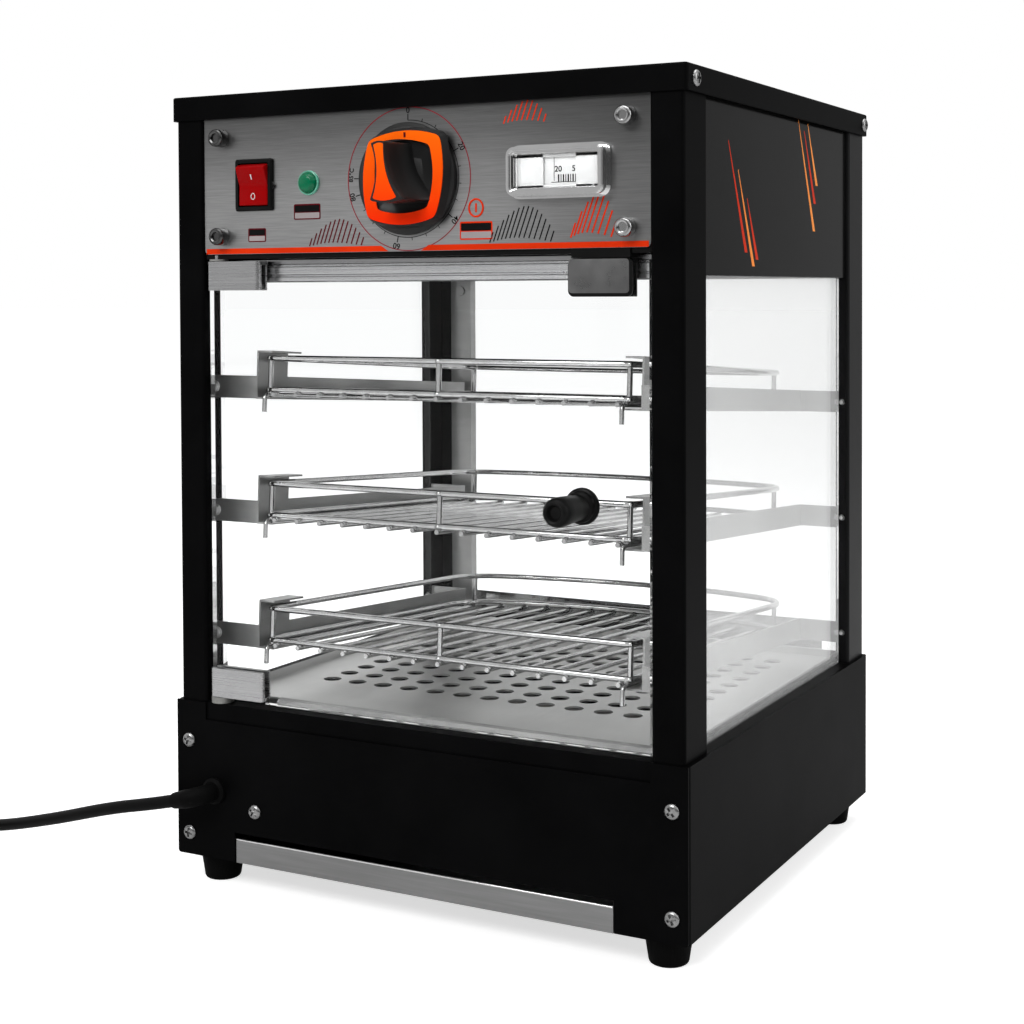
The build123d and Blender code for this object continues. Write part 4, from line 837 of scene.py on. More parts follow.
# %% Rim route
RACK_W = 0.1270
CORNER_R = 0.042
BOW_R = 0.280
FRONT_R = 0.006
FRONT_GAP = 0.0004
RACK_REAR = 0.28638
GRID_Z = 0.0018
RIM_Z = 0.0050
RIM_TOP_Z = 0.0250
BOW_Y = RACK_REAR - BOW_R
CORNER_X = RACK_W - CORNER_R
CORNER_Y = BOW_Y + math.sqrt((BOW_R - CORNER_R) ** 2 - CORNER_X**2)
BOW_LEAN = math.atan2(CORNER_Y - BOW_Y, CORNER_X)


def arc(cx, cy, r, start, end, steps):
    """Points along an arc in the rack's own plane."""
    angles = [start + (end - start) * k / steps for k in range(steps + 1)]
    return [(cx + r * math.cos(a), cy + r * math.sin(a)) for a in angles]


def rim_route(z):
    """Once round the rim, from the right front corner."""
    half = arc(RACK_W - FRONT_R, FRONT_GAP + FRONT_R, FRONT_R, -math.pi / 2, 0, 6)
    half += arc(CORNER_X, CORNER_Y, CORNER_R, 0, BOW_LEAN, 12)
    half += arc(0, BOW_Y, BOW_R, BOW_LEAN, math.pi / 2, 12)[1:]
    return [(x, y, z) for x, y in half + [(-x, y) for x, y in reversed(half[:-1])]]


def rim_depth(x):
    """How far back the rim's bow lies at a distance x from the middle."""
    if abs(x) < BOW_R * math.cos(BOW_LEAN):
        return BOW_Y + math.sqrt(BOW_R**2 - x**2)
    return CORNER_Y + math.sqrt(CORNER_R**2 - (abs(x) - CORNER_X) ** 2)


print("rim route has", len(rim_route(0)), "points, bow at", round(rim_depth(0), 4))

# %% One rack
GRID_WIRES = 15
GRID_PITCH = 0.0171
BEAD_Z = GRID_Z + 0.0009
RIM_WIRE_R, TIE_WIRE_R, GRID_WIRE_R = 2.0, 1.7, 1.5
TIE_BEAD_R, GRID_BEAD_R, RUNNER_BEAD_R = 2.9, 2.1, 2.3
wires = [bent_wire(rim_route(z), RIM_WIRE_R, True) for z in (RIM_Z, RIM_TOP_Z)]
corner_turn = FRONT_R * (1 - math.sqrt(0.5))
front_tie = (RACK_W - corner_turn, FRONT_GAP + corner_turn)
rear_tie = (CORNER_X + 0.8 * CORNER_R, CORNER_Y + 0.6 * CORNER_R)
for x, y in [(0, FRONT_GAP), front_tie, (-front_tie[0], front_tie[1]), rear_tie, (-rear_tie[0], rear_tie[1])]:
    wires.append(bent_wire([(x, y, RIM_Z), (x, y, RIM_TOP_Z)], TIE_WIRE_R))
    wires += [weld_bead((x, y, z), TIE_BEAD_R) for z in (RIM_Z, RIM_TOP_Z)]
for k in range(GRID_WIRES):
    x = (k - (GRID_WIRES - 1) / 2) * GRID_PITCH
    wire_ends = [(x, FRONT_GAP - 0.003, GRID_Z), (x, rim_depth(x) + 0.0025, GRID_Z)]
    wires.append(bent_wire(wire_ends, GRID_WIRE_R))
    wires.append(weld_bead((x, FRONT_GAP, BEAD_Z), GRID_BEAD_R, 0.6))

RUNNER_X = 0.1241
PEG_Y = -0.0052
PEG_R = 0.003
PEG_END_Z = GRID_Z - 0.011
peg_bend = [(PEG_Y + PEG_R - PEG_R * math.sin(a), GRID_Z - PEG_R + PEG_R * math.cos(a))
            for a in [math.pi / 2 * k / 6 for k in range(7)]]
for x in (-RUNNER_X, RUNNER_X):
    route = [(rim_depth(x) + 0.001, GRID_Z)] + peg_bend + [(PEG_Y, PEG_END_Z)]
    wires.append(bent_wire([(x, y, z) for y, z in route], GRID_WIRE_R))
    wires.append(weld_bead((x, FRONT_GAP, BEAD_Z), RUNNER_BEAD_R, 0.6))
basket = join(wires)
print("one rack has", len(basket.data.polygons), "faces")

# %% Three racks
RACK_ABOVE_RAIL = 1.2 * MM
for level, place in enumerate(("bottom", "middle", "top")):
    z = RAIL_FIRST_Z + level * RAIL_PITCH + RACK_ABOVE_RAIL
    twin = copy_of(basket, (0, MIDDLE_Y - RAIL_Y, z), (-RAIL_TILT, 0, 0))
    seat(twin, "wire_rack_" + place, wire_chrome, "chrome", "rack_" + place, body="rack_" + place, angle=50)
bpy.data.objects.remove(basket)

# %% [markdown]
# ## Floor pan
#
# The pan is a pressed tray with a flared lip, pierced by thirteen by ten holes. The sheet is a plane
# whose rim is extruded upwards and widened. Its thickness comes from a Solidify modifier, and the holes
# from one cylinder repeated by two Array modifiers and cut away.

# %% Pan sheet
PAN_LOW, PAN_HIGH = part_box("floor_pan")
PAN_SHEET = 0.0012
PAN_W, PAN_D = 0.310, 0.290
LIP_W, LIP_D = 0.3145, 0.2945
LIP_RISE = PAN_HIGH.z - PAN_LOW.z - PAN_SHEET - 0.0004
bpy.ops.mesh.primitive_plane_add(size=1, location=(0, MIDDLE_Y, PAN_LOW.z + PAN_SHEET))
pan = bpy.context.object
pan.scale = (PAN_W - PAN_SHEET, PAN_D - PAN_SHEET, 1)
freeze(pan)
bpy.ops.object.mode_set(mode="EDIT")
bpy.ops.mesh.select_mode(type="EDGE")
bpy.ops.mesh.select_all(action="SELECT")
bpy.ops.mesh.extrude_edges_move(TRANSFORM_OT_translate={"value": (0, 0, LIP_RISE)})
bpy.ops.transform.resize(value=(LIP_W / PAN_W, LIP_D / PAN_D, 1), center_override=(0, MIDDLE_Y, 0))
bpy.ops.mesh.select_mode(type="VERT")
bpy.ops.object.mode_set(mode="OBJECT")
apply_modifier(pan, "SOLIDIFY", thickness=PAN_SHEET, offset=-1, use_even_offset=True)
apply_modifier(pan, "BEVEL", width=0.0005, segments=2, limit_method="ANGLE")
print("pan sheet", [round(v, 4) for v in pan.dimensions])

# %% Pan holes
HOLE_R = 0.0060
HOLE_FIRST = (-0.120, -0.070 + MIDDLE_Y, PAN_LOW.z)
HOLE_ROWS = ((13, (0.0200, 0, 0)), (10, (0, 0.0205, 0)))
bpy.ops.mesh.primitive_cylinder_add(vertices=24, radius=HOLE_R, depth=0.006, location=HOLE_FIRST)
punch = bpy.context.object
for count, step in HOLE_ROWS:
    apply_modifier(
        punch, "ARRAY", count=count, use_relative_offset=False, use_constant_offset=True,
        constant_offset_displace=step,
    )
freeze(punch)
cut_away(pan, punch)
seat(pan, "pierced_floor_pan", pan_steel, "stainless", "floor_pan")

# %% [markdown]
# In front of the pan a narrow flange curls forward and down to the door glass and covers the deck. Behind
# the lowest rack the photograph is grey, not white: the rear pane stands in a steel channel that mirrors
# the pan. It is a low strip behind the glass with a folded upper edge.

# %% Pan flange
FLANGE_START = (-0.1055, 0, 0)
FLANGE_LENGTH = 255.5
edge_y = GLASS_HIGH.y / MM + 0.5
flange_section = [(-131.8, 120.9), (-135.6, 120.3), (edge_y, 117.4), (edge_y, 116.3), (edge_y + 0.8, 116.3)]
flange_section += [(edge_y + 0.8, 117.0), (-135.2, 119.5), (-131.8, 120.1)]
flange = slab(near(FLANGE_START, [(0, y, z) for y, z in flange_section]), x=FLANGE_LENGTH)
seat(flange, "pan_flange", plated_steel, "stainless", angle=20)

# %% Rear channel
CHANNEL_INSET = 12
CHANNEL_TOP = 138.0
rear_low, rear_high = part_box("rear_glass")
channel_foot = PAN_LOW.z / MM + 3
channel_section = [(0.2, channel_foot), (0.2, CHANNEL_TOP - 0.5), (0.6, CHANNEL_TOP), (1.2, CHANNEL_TOP - 0.5)]
channel_section.append((1.2, channel_foot))
channel_points = near((rear_low.x, rear_high.y, 0), [(CHANNEL_INSET, y, z) for y, z in channel_section])
channel = slab(channel_points, x=(rear_high.x - rear_low.x) / MM - 2 * CHANNEL_INSET)
seat(channel, "rear_channel", channel_steel, "stainless", angle=20)

# %% [markdown]
# ## Fascia studs and door knob
#
# Both are turned parts. A stud is a chromed nut with a rounded rim and a recess, and the door knob is a
# black moulding with a stepped flange, a stem that widens, and a hollow end.

# %% Fascia studs
STUD_OUTLINE = [(0, 6.4), (2.4, 6.4), (2.8, 7.6), (3.6, 8.0), (4.4, 7.9), (5.1, 7.3), (5.4, 6.4), (5.5, 1.2)]
STUD_OUTLINE += [(5.2, 0.6), (5.2, 0), (0, 0)]
STUD_X = 138.5
STUD_HEIGHTS = (409, 470)
stud = turned(STUD_OUTLINE, ORIGIN, 40)
studs = [copy_of(stud, (x * MM, FASCIA_Y, z * MM)) for x in (-STUD_X, STUD_X) for z in STUD_HEIGHTS]
bpy.data.objects.remove(stud)
seat(join(studs[2:]), "fascia_nuts_right", stud_chrome, "chrome", "fascia_studs")
# The left pair wears the darker copy of the chrome as painted shade.
seat(join(studs[:2]), "fascia_nuts_left", stud_chrome_shaded, "chrome")

# %% Door knob
KNOB_OUTLINE = [(0, 33.5), (3.4, 33.8), (4.0, 35.2), (4.7, 36.4), (5.8, 36.8), (7.0, 36.0), (7.9, 34.2), (8.3, 31.5)]
KNOB_OUTLINE += [(8.2, 26.0), (7.6, 16.0), (7.1, 9.2), (7.3, 7.6), (8.0, 6.8), (8.6, 6.3), (9.0, 5.5), (9.1, 3.4)]
KNOB_OUTLINE += [(10.0, 3.0), (10.4, 2.4), (10.5, 0.4), (10.3, 0.0), (0, 0)]
knob_low, knob_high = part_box("door_knob")
knob_place = ((knob_low.x + knob_high.x) / 2, DOOR_Y, (knob_low.z + knob_high.z) / 2)
seat(turned(KNOB_OUTLINE, knob_place, 56), "door_handle", black_plastic, "black_plastic", "door_knob", body="door")

# %% [markdown]
# ## Header and striker
#
# The header over the door is an aluminium extrusion with long grooves: its cross-section is drawn and
# pushed along its length. The magnet's striker is a dark plate folded round the top corner of the glass,
# with a thicker black edge at its right and lower sides.

# %% Header rail
header_low, header_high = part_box("header_rail")
header_length, header_depth, header_rise = (header_high - header_low) / MM
section = [(1.2, 0), (0.2, 0.8), (0, 3.0), (0.9, 3.6), (0.9, 4.4), (0.1, 5.0), (0.1, 9.2), (1.0, 9.8), (1.0, 10.8)]
section += [(0.1, 11.4), (0.1, header_rise - 0.8), (0.8, header_rise), (header_depth, header_rise), (header_depth, 0)]
header = slab(near(header_low, [(0, y, z) for y, z in section]), x=header_length)
seat(header, "header_extrusion", header_aluminium, "aluminium", "header_rail", angle=20)

# %% Striker
striker_low, striker_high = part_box("striker_plate")
striker_w, striker_d, striker_h = (striker_high - striker_low) / MM
striker_middle = ((striker_low.x + striker_high.x) / 2, DOOR_Y, (striker_low.z + striker_high.z) / 2)
striker_front = (striker_low.y - DOOR_Y) / MM
edge = drawn_face(on_front(rounded_corners(striker_w / 2, striker_h / 2, 3.6), striker_middle))
push(y=striker_front + 0.2)
inset(1.2)
outwards()
leaf_y = (DOOR_Y - striker_low.y) / MM
rear_leaf = block(striker_low, (0, leaf_y + 5.0, 0), (striker_w, striker_d, striker_h), 0.3)
top_leaf = block(striker_low, (3, leaf_y, striker_h - 0.8), (striker_w - 3, striker_d, striker_h), 0.2)
striker_parts = [edge, rear_leaf, top_leaf]
seat(join(striker_parts), "striker_cover", black_plastic, "black_plastic", "striker_plate", body="door", angle=40)
face_pairs = [(a - 0.8, b + 0.8) for a, b in rounded_corners(striker_w / 2 - 1.2, striker_h / 2 - 1.2, 2.2)]
face = slab(on_front(face_pairs, striker_middle, striker_front + 0.3), y=-0.4)
seat(face, "striker_leaf", striker_steel, "stainless", body="door", angle=40)

# %% [markdown]
# ## Thermostat knob
#
# The knob has a round skirt, a body with four bowed sides that rises from it, a dished front, and an
# upright grip with a narrow waist. A bright band lies round the dish and a bright cap on the grip. The
# bowed outline is four shallow arcs between rounded corners. It is given by the arcs' ends and middles.

# %% Outlines of the knob
GRIP_ARCS = [(-7.6, 19.0), (-3.2, 20.2), (1.4, 19.8), (4.2, 1.0), (13.2, -13.2), (2.6, -15.2), (-8.6, -13.6)]
GRIP_ARCS.append((-4.6, 2.0))
BAND_OUTER = [(-21.4, 22.4), (2.0, 27.3), (26.6, 23.6), (28.8, 2.0), (23.2, -23.2), (0.4, -27.2), (-22.4, -22.6)]
BAND_OUTER.append((-25.4, 0.0))
BAND_INNER = [(-16.0, 21.2), (2.0, 22.4), (19.8, 18.6), (22.2, 2.0), (18.2, -17.6), (0.0, -20.6), (-15.8, -18.0)]
BAND_INNER.append((-17.4, 0.0))


def through_three(a, b, c, steps):
    """Points along the arc through three points, without the last."""
    a, b, c = Vector(a), Vector(b), Vector(c)
    turn = (b - a).cross(c - b)
    bc, ca, ab = (b - c).length_squared, (c - a).length_squared, (a - b).length_squared
    wa, wb, wc = bc * (ca + ab - bc), ca * (ab + bc - ca), ab * (bc + ca - ab)
    centre = (a * wa + b * wb + c * wc) / (wa + wb + wc)
    start = math.atan2(*(a - centre).yx)
    end = math.atan2(*(c - centre).yx)
    if turn > 0 and end < start:
        end += math.tau
    if turn < 0 and end > start:
        end -= math.tau
    r = (a - centre).length
    angles = [start + (end - start) * k / steps for k in range(steps)]
    return [(centre.x + r * math.cos(t), centre.y + r * math.sin(t)) for t in angles]


def arc_outline(points, ease, grow=1.0):
    """Four arcs joined by rounded corners. Ease is the share of an arc that a corner takes."""
    sides = []
    for k in range(0, 8, 2):
        a, b, c = points[k], points[k + 1], points[(k + 2) % 8]
        side = through_three(a, b, c, 48) + [c]
        cut = int(len(side) * ease)
        sides.append((side[cut:len(side) - cut:3], side[-1]))
    pairs = []
    for k, (side, corner) in enumerate(sides):
        pairs += side
        before, after = Vector(side[-1]), Vector(sides[(k + 1) % 4][0][0])
        for share in (0.25, 0.5, 0.75):
            bend = before * (1 - share) ** 2 + Vector(corner) * 2 * share * (1 - share) + after * share**2
            pairs.append(tuple(bend))
    return [(a * grow, b * grow) for a, b in pairs]


grip_outline = arc_outline(GRIP_ARCS, 0.05)
print("grip outline has", len(grip_outline), "points")

# %% Skirt, body and grip
SKIRT = [(0, 0.5), (32.6, 0.5), (33.0, 0.9), (33.0, 2.6), (32.6, 3.2), (31.2, 3.6), (30.6, 4.4), (29.8, 5.0)]
SKIRT.append((0, 5.0))
DISH_STEPS = ((0.8, 0.985), (1.4, 0.93), (1.2, 0.84), (0.6, 0.66), (0.3, 0.36))
GRIP_STEPS = ((0.6, 1.02), (5.6, 1.04), (5.0, 1.06), (4.6, 1.09), (4.0, 1.13), (4.0, 1.10))
GRIP_FRONT = -28.6
skirt = turned(SKIRT, DIAL, 72)
dish = drawn_face(on_front(arc_outline(BAND_OUTER, 0.08, 1.08), DIAL, -4.5))
for rise, wide, tall in ((3.0, 0.955, 0.96), (1.4, 0.978, 0.98)):
    push(y=-rise)
    resize(DIAL, wide, tall)
inset(5.8)
for drop, draw in DISH_STEPS:
    push(y=drop)
    resize(DIAL, draw, draw)
outwards()
grip = drawn_face(on_front(grip_outline, DIAL, GRIP_FRONT))
grip_left = (DIAL_X - 8.5 * MM, FASCIA_Y, CONTROL_Z + 2 * MM)
for back, widen in GRIP_STEPS:
    push(y=back)
    resize(grip_left, widen, 1.0)
outwards()
knob_parts = [skirt, dish, grip]
seat(join(knob_parts), "dial_knob", knob_plastic, "black_plastic", "thermostat_knob", body="knob", angle=44)

# %% Bright band and cap
band = slab(on_front(arc_outline(BAND_OUTER, 0.08), DIAL, -8.8), y=-0.6)
cut_away(band, slab(on_front(arc_outline(BAND_INNER, 0.08), DIAL, -8.0), y=-3.0))
cap_pairs = [(0.74 * (a + 1.6) - 1.3, 0.935 * (b - 2.5) + 2.5) for a, b in grip_outline]
cap = slab(on_front(cap_pairs, DIAL, GRIP_FRONT + 0.2), y=-0.5)
seat(join([band, cap]), "dial_insets", orange_plastic, "orange_plastic", "thermostat_knob_face", body="knob")
pointer = block(DIAL, (2.8, -9.6, 23.4), (4.1, -9.3, 26.3))
seat(pointer, "dial_pointer", maroon_ink, "red_plastic", body="knob")

# %% [markdown]
# ## Rocker switch
#
# The bezel is a black moulding with a bevelled front. The rocker is a profile, seen from the side, pushed
# across its width: two faces that meet in a shallow valley, with the upper wing standing out. Its marks
# are the usual line and ring.

# %% Switch bezel
SWITCH = (-113.3 * MM, FASCIA_Y, CONTROL_Z)
OPENING_X, OPENING_Z = 11.3, 13.4
housing_rear = (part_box("switch_housing")[1].y - FASCIA_Y) / MM
bezel = drawn_face(on_front(rounded_corners(14.0, 16.0, 1.2), SWITCH, 0.6))
push(y=-1.9)
push(y=-1.2)
resize(SWITCH, 0.945, 0.95)
outwards()
cut_away(bezel, block(SWITCH, (-OPENING_X, -10, -OPENING_Z), (OPENING_X, 10, OPENING_Z)))
housing = block(SWITCH, (-12.0, 0.4, -14.6), (12.0, housing_rear, 14.6), 0.8)
cut_away(housing, block(SWITCH, (-OPENING_X, -10, -OPENING_Z), (OPENING_X, 11, OPENING_Z)))
tab = slab(on_front(((13.6, 2.0), (13.6, -3.5), (15.8, -0.8)), SWITCH, -0.2), y=-1.6)
seat(join([bezel, housing, tab]), "switch_bezel", black_plastic, "black_plastic", "switch_housing")

# %% Rocker
ROCKER_PIVOT = near(SWITCH, [(0, 1, 0)])[0]
ROCKER_R = 13.0
ROCKER_HALF_W = 10.8
ROCKER_TILT = math.radians(10)
VALLEY = 3.2
WING_TIP, WING_FOOT = math.radians(25), math.radians(-14)
TIP_OUT, TIP_RISE = ROCKER_R * math.sin(WING_TIP), ROCKER_R * math.cos(WING_TIP)


def tilted(across, out, rise):
    """A point of the tilted rocker: across, forward and up from its pivot."""
    forward = out * math.cos(ROCKER_TILT) + rise * math.sin(ROCKER_TILT)
    height = rise * math.cos(ROCKER_TILT) - out * math.sin(ROCKER_TILT)
    return near(ROCKER_PIVOT, [(across, -forward, height)])[0]


def rocker_side():
    """The side profile before it is tilted, as forward and up from the pivot."""
    upper = [(VALLEY + (TIP_OUT - VALLEY) * k / 4, TIP_RISE * k / 4) for k in range(4)]
    sweep = [WING_TIP + (WING_FOOT - WING_TIP) * k / 8 for k in range(9)]
    upper += [(ROCKER_R * math.sin(a), ROCKER_R * math.cos(a)) for a in sweep]
    return upper + [(-6, 0)] + [(out, -rise) for out, rise in reversed(upper[1:])]


rocker_key = slab([tilted(-ROCKER_HALF_W, out, rise) for out, rise in rocker_side()], x=2 * ROCKER_HALF_W)
apply_modifier(
    rocker_key, "BEVEL", width=0.9 * MM, segments=3, limit_method="ANGLE", angle_limit=math.radians(40)
)
seat(rocker_key, "rocker_key", red_plastic, "red_plastic", "rocker", body="rocker", angle=35)

# %% Rocker marks
def on_rocker(across, rise, lift):
    """A point on the rocker's front: across, up from the valley, and lifted off the face."""
    return tilted(across, VALLEY + (TIP_OUT - VALLEY) / TIP_RISE * abs(rise) + lift, rise)


lift_step = (Vector(on_rocker(0, 5, 0.18)) - Vector(on_rocker(0, 5, 0))) / MM
line_corners = ((-0.3, 4.0), (0.3, 4.0), (0.3, 7.2), (-0.3, 7.2))
on_mark = slab([on_rocker(a, b, -0.05) for a, b in line_corners], *lift_step)
ring_angles = [math.tau * k / 28 for k in range(28)]
ring_route = [on_rocker(1.4 * math.cos(a), -6.4 + 1.8 * math.sin(a), 0.04) for a in ring_angles]
rocker_marks = join([on_mark, bent_wire(ring_route, 0.24, True)])
seat(rocker_marks, "rocker_marks", white_ink, "white_plastic", body="rocker")

# %% [markdown]
# ## Pilot lamp
#
# The lamp is a green lens that covers its bezel almost to the edge. Its front is flat with a wide bevel,
# and a thin pale rim shows round it.

# %% Lamp
LAMP = (-73.0 * MM, FASCIA_Y, CONTROL_Z)
LENS_OUTLINE = [(0, 5.0), (4.0, 4.9), (4.6, 4.6), (6.2, 2.6), (6.5, 1.7), (6.4, 1.2), (0, 1.2)]
RIM_OUTLINE = [(0, 0), (7.5, 0), (7.5, 0.9), (7.2, 1.5), (6.8, 1.6), (6.4, 1.3), (0, 1.3)]
seat(turned(LENS_OUTLINE, LAMP), "lamp_cover", green_lens, "green_lens", "lamp_lens")
seat(turned(RIM_OUTLINE, LAMP), "lamp_rim", lens_rim_green, "green_lens", "lamp_bezel")

# %% [markdown]
# ## Thermometer
#
# The thermometer's bezel is chromed and stepped: a rounded outer frame, a bright inner edge, and a deep
# opening. It is drawn as a rounded rectangle, pushed out, and inset again and again. Behind the window
# lies a card of raised strips, with a printed scale.

# %% Thermometer bezel
METER = (97.2 * MM, FASCIA_Y, CONTROL_Z + 1 * MM)
METER_RISE = ((1.2, 0.2), (0.8, 0.4), (0.5, 0.6), (0.1, 0.5))
METER_FALL = ((0.2, 0.3), (0.6, 0.4), (1.6, 0.9), (2.0, 0.8))
WINDOW_X, WINDOW_Z = 25.8, 9.4
meter = drawn_face(on_front(rounded_corners(31.6, 15.2, 6.2), METER))
push(y=-1.4)
inset(0.9)
push(y=-1.0)
inset(0.4)
push(y=-4.2)
for out, narrow in METER_RISE:
    push(y=-out)
    inset(narrow)
for back, narrow in METER_FALL:
    inset(narrow)
    push(y=back)
outwards()
cut_away(meter, block(METER, (-WINDOW_X, -20, -WINDOW_Z), (WINDOW_X, 1, WINDOW_Z)))
seat(meter, "thermometer_frame", bright_chrome, "chrome", "thermometer_bezel", angle=50)
CARD_STRIPS = (
    ((-25.6, -4.2, -9.3), (-8.5, -2.2, 9.3)),
    ((11.8, -4.2, -9.3), (25.6, -2.2, 9.3)),
    ((-25.6, -4.2, 7.6), (25.6, -2.2, 9.3)),
    ((-25.6, -4.2, -9.3), (25.6, -2.2, -8.0)),
    ((-25.6, -2.6, -9.3), (25.6, -0.6, 9.3)),
)
card = join([block(METER, low, high, 0.1) for low, high in CARD_STRIPS])
seat(card, "thermometer_card", white_plastic, "white_plastic", "thermometer_plate")

# %% Figures and ticks
def figure(body, place, height, turn=0.0):
    """A number as a thin mesh that faces the front, centred on its place."""
    bpy.ops.object.text_add(location=place, rotation=(math.pi / 2, turn, 0))
    words = bpy.context.object.data
    words.body = body
    words.size = height * 1.38 * MM
    words.align_x = words.align_y = "CENTER"
    words.extrude = 0.08 * MM
    words.offset = 0.06 * MM
    words.resolution_u = 4
    bpy.ops.object.convert(target="MESH")
    return freeze(bpy.context.object)


def tick(place, wide, tall, turn=0.0):
    """A small printed bar that faces the front."""
    thick = 0.1
    bpy.ops.mesh.primitive_cube_add(
        size=1, location=place, rotation=(0, turn, 0), scale=(wide * MM, thick * MM, tall * MM)
    )
    ease_edges(min(wide, tall, thick) * 0.2, 1)
    return freeze(bpy.context.object)


def on_card(x, z):
    """A point on the thermometer's card."""
    return near(METER, [(x, -2.7, z)])[0]


scale_print = [figure("20", on_card(0.2, 0.8), 3.3), figure("5", on_card(9.8, 0.8), 3.3)]
scale_print += [tick(on_card(0.4 + 1.5 * k, -4.2), 0.50 if k % 2 else 0.85, 4.2) for k in range(8)]
scale_print += [tick(on_card(4.0, -6.4), 16.2, 0.35), tick(on_card(-2.4, 0.8), 0.3, 13.0)]
seat(join(scale_print), "thermometer_scale", black_ink, "black_plastic")

# %% [markdown]
# ## Printing on the fascia
#
# The dial's scale, its surrounding circle and the orange line are printed on the steel. Each is a very
# thin solid that lies on it. Between the controls there is a plain ornament of slanted bars, and plain
# two-tone tags stand by the controls.

# %% Dial scale
PRINT_Y = FASCIA_Y - 0.06 * MM
DEGREES_PER_UNIT = 3.2
SCALE_R = 34.3
SCALE_END = 85
SCALE_LINE = 0.42
FIGURE_R = 40.0
CIRCLE_R = 42.0


def on_print(x, z, lift=0.0):
    """A point on the printed face, in millimetres across and up, lifted off it."""
    return (x * MM, PRINT_Y - lift * MM, z * MM)


def at_dial(radius, bearing):
    """A point on the fascia at a clockwise bearing from the top of the dial."""
    angle = math.radians(bearing)
    return (DIAL_X + radius * MM * math.sin(angle), PRINT_Y, CONTROL_Z + radius * MM * math.cos(angle))


def printed_arc(radius, start, end, width, steps):
    """A thin printed line round the dial."""
    bearings = [start + (end - start) * k / steps for k in range(steps + 1)]
    inner = [at_dial(radius - width / 2, bearing) for bearing in bearings]
    outer = [at_dial(radius + width / 2, bearing) for bearing in reversed(bearings)]
    return slab(inner + outer, y=-0.06)


dial_print = []
for value in range(0, SCALE_END + 1, 5):
    bearing = value * DEGREES_PER_UNIT
    wide, long = (0.60, 3.6) if value % 20 == 0 or value == SCALE_END else (SCALE_LINE, 1.8)
    dial_print.append(tick(at_dial(SCALE_R + long / 2, bearing), wide, long, math.radians(bearing)))
figures = [(str(value), value * DEGREES_PER_UNIT, FIGURE_R, 3.6) for value in range(0, SCALE_END, 20)]
figures.append(("85°C", SCALE_END * DEGREES_PER_UNIT + 3, FIGURE_R - 0.2, 2.9))
for words, bearing, radius, height in figures:
    dial_print.append(figure(words, at_dial(radius, bearing), height, math.radians(bearing)))
dial_print.append(printed_arc(SCALE_R, 0, SCALE_END * DEGREES_PER_UNIT, SCALE_LINE, 72))
seat(join(dial_print), "dial_scale", black_ink, "black_plastic")
circle = [printed_arc(CIRCLE_R, start, start + 90, 0.55, 24) for start in (0, 90, 180, 270)]
seat(join(circle), "dial_circle", dial_red, "red_plastic")

# %% Orange line
STRIP_LOW = FASCIA_LOW.z / MM + 0.2
STRIP_HIGH = FASCIA_LOW.z / MM + 3.5
STRIP_LEFT, STRIP_RIGHT = FASCIA_LOW.x / MM + 1.2, FASCIA_HIGH.x / MM - 1.2


def strip(x0, x1, slant0, slant1):
    """A stretch of the orange line. A slant moves the top corner inwards."""
    corners = ((x0, STRIP_LOW), (x1, STRIP_LOW), (x1 - slant1, STRIP_HIGH), (x0 + slant0, STRIP_HIGH))
    return slab([on_print(x, z) for x, z in corners], y=-0.08)


line = join([strip(STRIP_LEFT, -16.5, 0.0, 5.2), strip(6.0, STRIP_RIGHT, 5.2, 0.0)])
seat(line, "orange_line", orange_ink, "orange_plastic")

# %% Ornament of slanted bars
BAR_LEAN = 0.35


def bar_row(x, z, count, pitch, tall, wide):
    """A row of slanted printed bars that rise and fall in height."""
    bars = []
    for k in range(count):
        rise = math.sin(math.pi * (k + 0.5) / count)
        bars.append(tick(on_print(x + k * pitch, z + tall * rise / 2), wide, tall * (0.25 + 0.75 * rise), BAR_LEAN))
    return bars


seat(join(bar_row(-72.0, 403.5, 13, 3.1, 15.0, 0.85)), "maroon_bars", maroon_ink, "red_plastic")
seat(join(bar_row(53.0, 404.0, 14, 3.0, 19.0, 0.75)), "black_bars", black_ink, "black_plastic")
orange_bars = bar_row(105.0, 406.0, 9, 3.1, 23.0, 1.0) + bar_row(62.0, 470.5, 9, 3.2, 12.0, 0.8)
seat(join(orange_bars), "orange_bars", orange_ink, "orange_plastic")

# %% Tags
TAGS = ((-112.0, 409.5, 13.5, 8.5), (-74.5, 423.0, 19.5, 9.5), (43.0, 409.2, 21.5, 10.5))


def plate_shape(x, z, wide, tall, corner, lift):
    """A thin rounded plate on the fascia."""
    return slab(on_front(rounded_corners(wide / 2, tall / 2, corner, 4), on_print(x, z, lift)), y=-0.05)


frames = [plate_shape(x, z, wide, tall, 1.0, 0) for x, z, wide, tall in TAGS]
darks = [plate_shape(x, z + tall * 0.2, wide - 1.6, tall * 0.42, 0.4, 0.05) for x, z, wide, tall in TAGS]
pales = [plate_shape(x, z - tall * 0.24, wide - 1.6, tall * 0.36, 0.4, 0.05) for x, z, wide, tall in TAGS]
seat(join(frames[:2]), "tag_plates", maroon_ink, "red_plastic")
seat(frames[2], "tag_plate_right", orange_ink, "orange_plastic")
seat(join(darks), "tag_bands", black_ink, "black_plastic")
seat(join(pales), "tag_fields", tag_grey, "white_plastic")

# %% Warmth mark
MARK_X, MARK_Z = 43.0, 422.2
ring_angles = [math.tau * k / 32 for k in range(32)]
mark_points = [on_print(MARK_X + 4.6 * math.sin(a), MARK_Z + 5.0 * math.cos(a)) for a in ring_angles]
warmth_mark = [bent_wire(mark_points, 0.6, True), tick(on_print(MARK_X, MARK_Z), 1.2, 5.2)]
seat(join(warmth_mark), "warmth_mark", orange_ink, "orange_plastic")

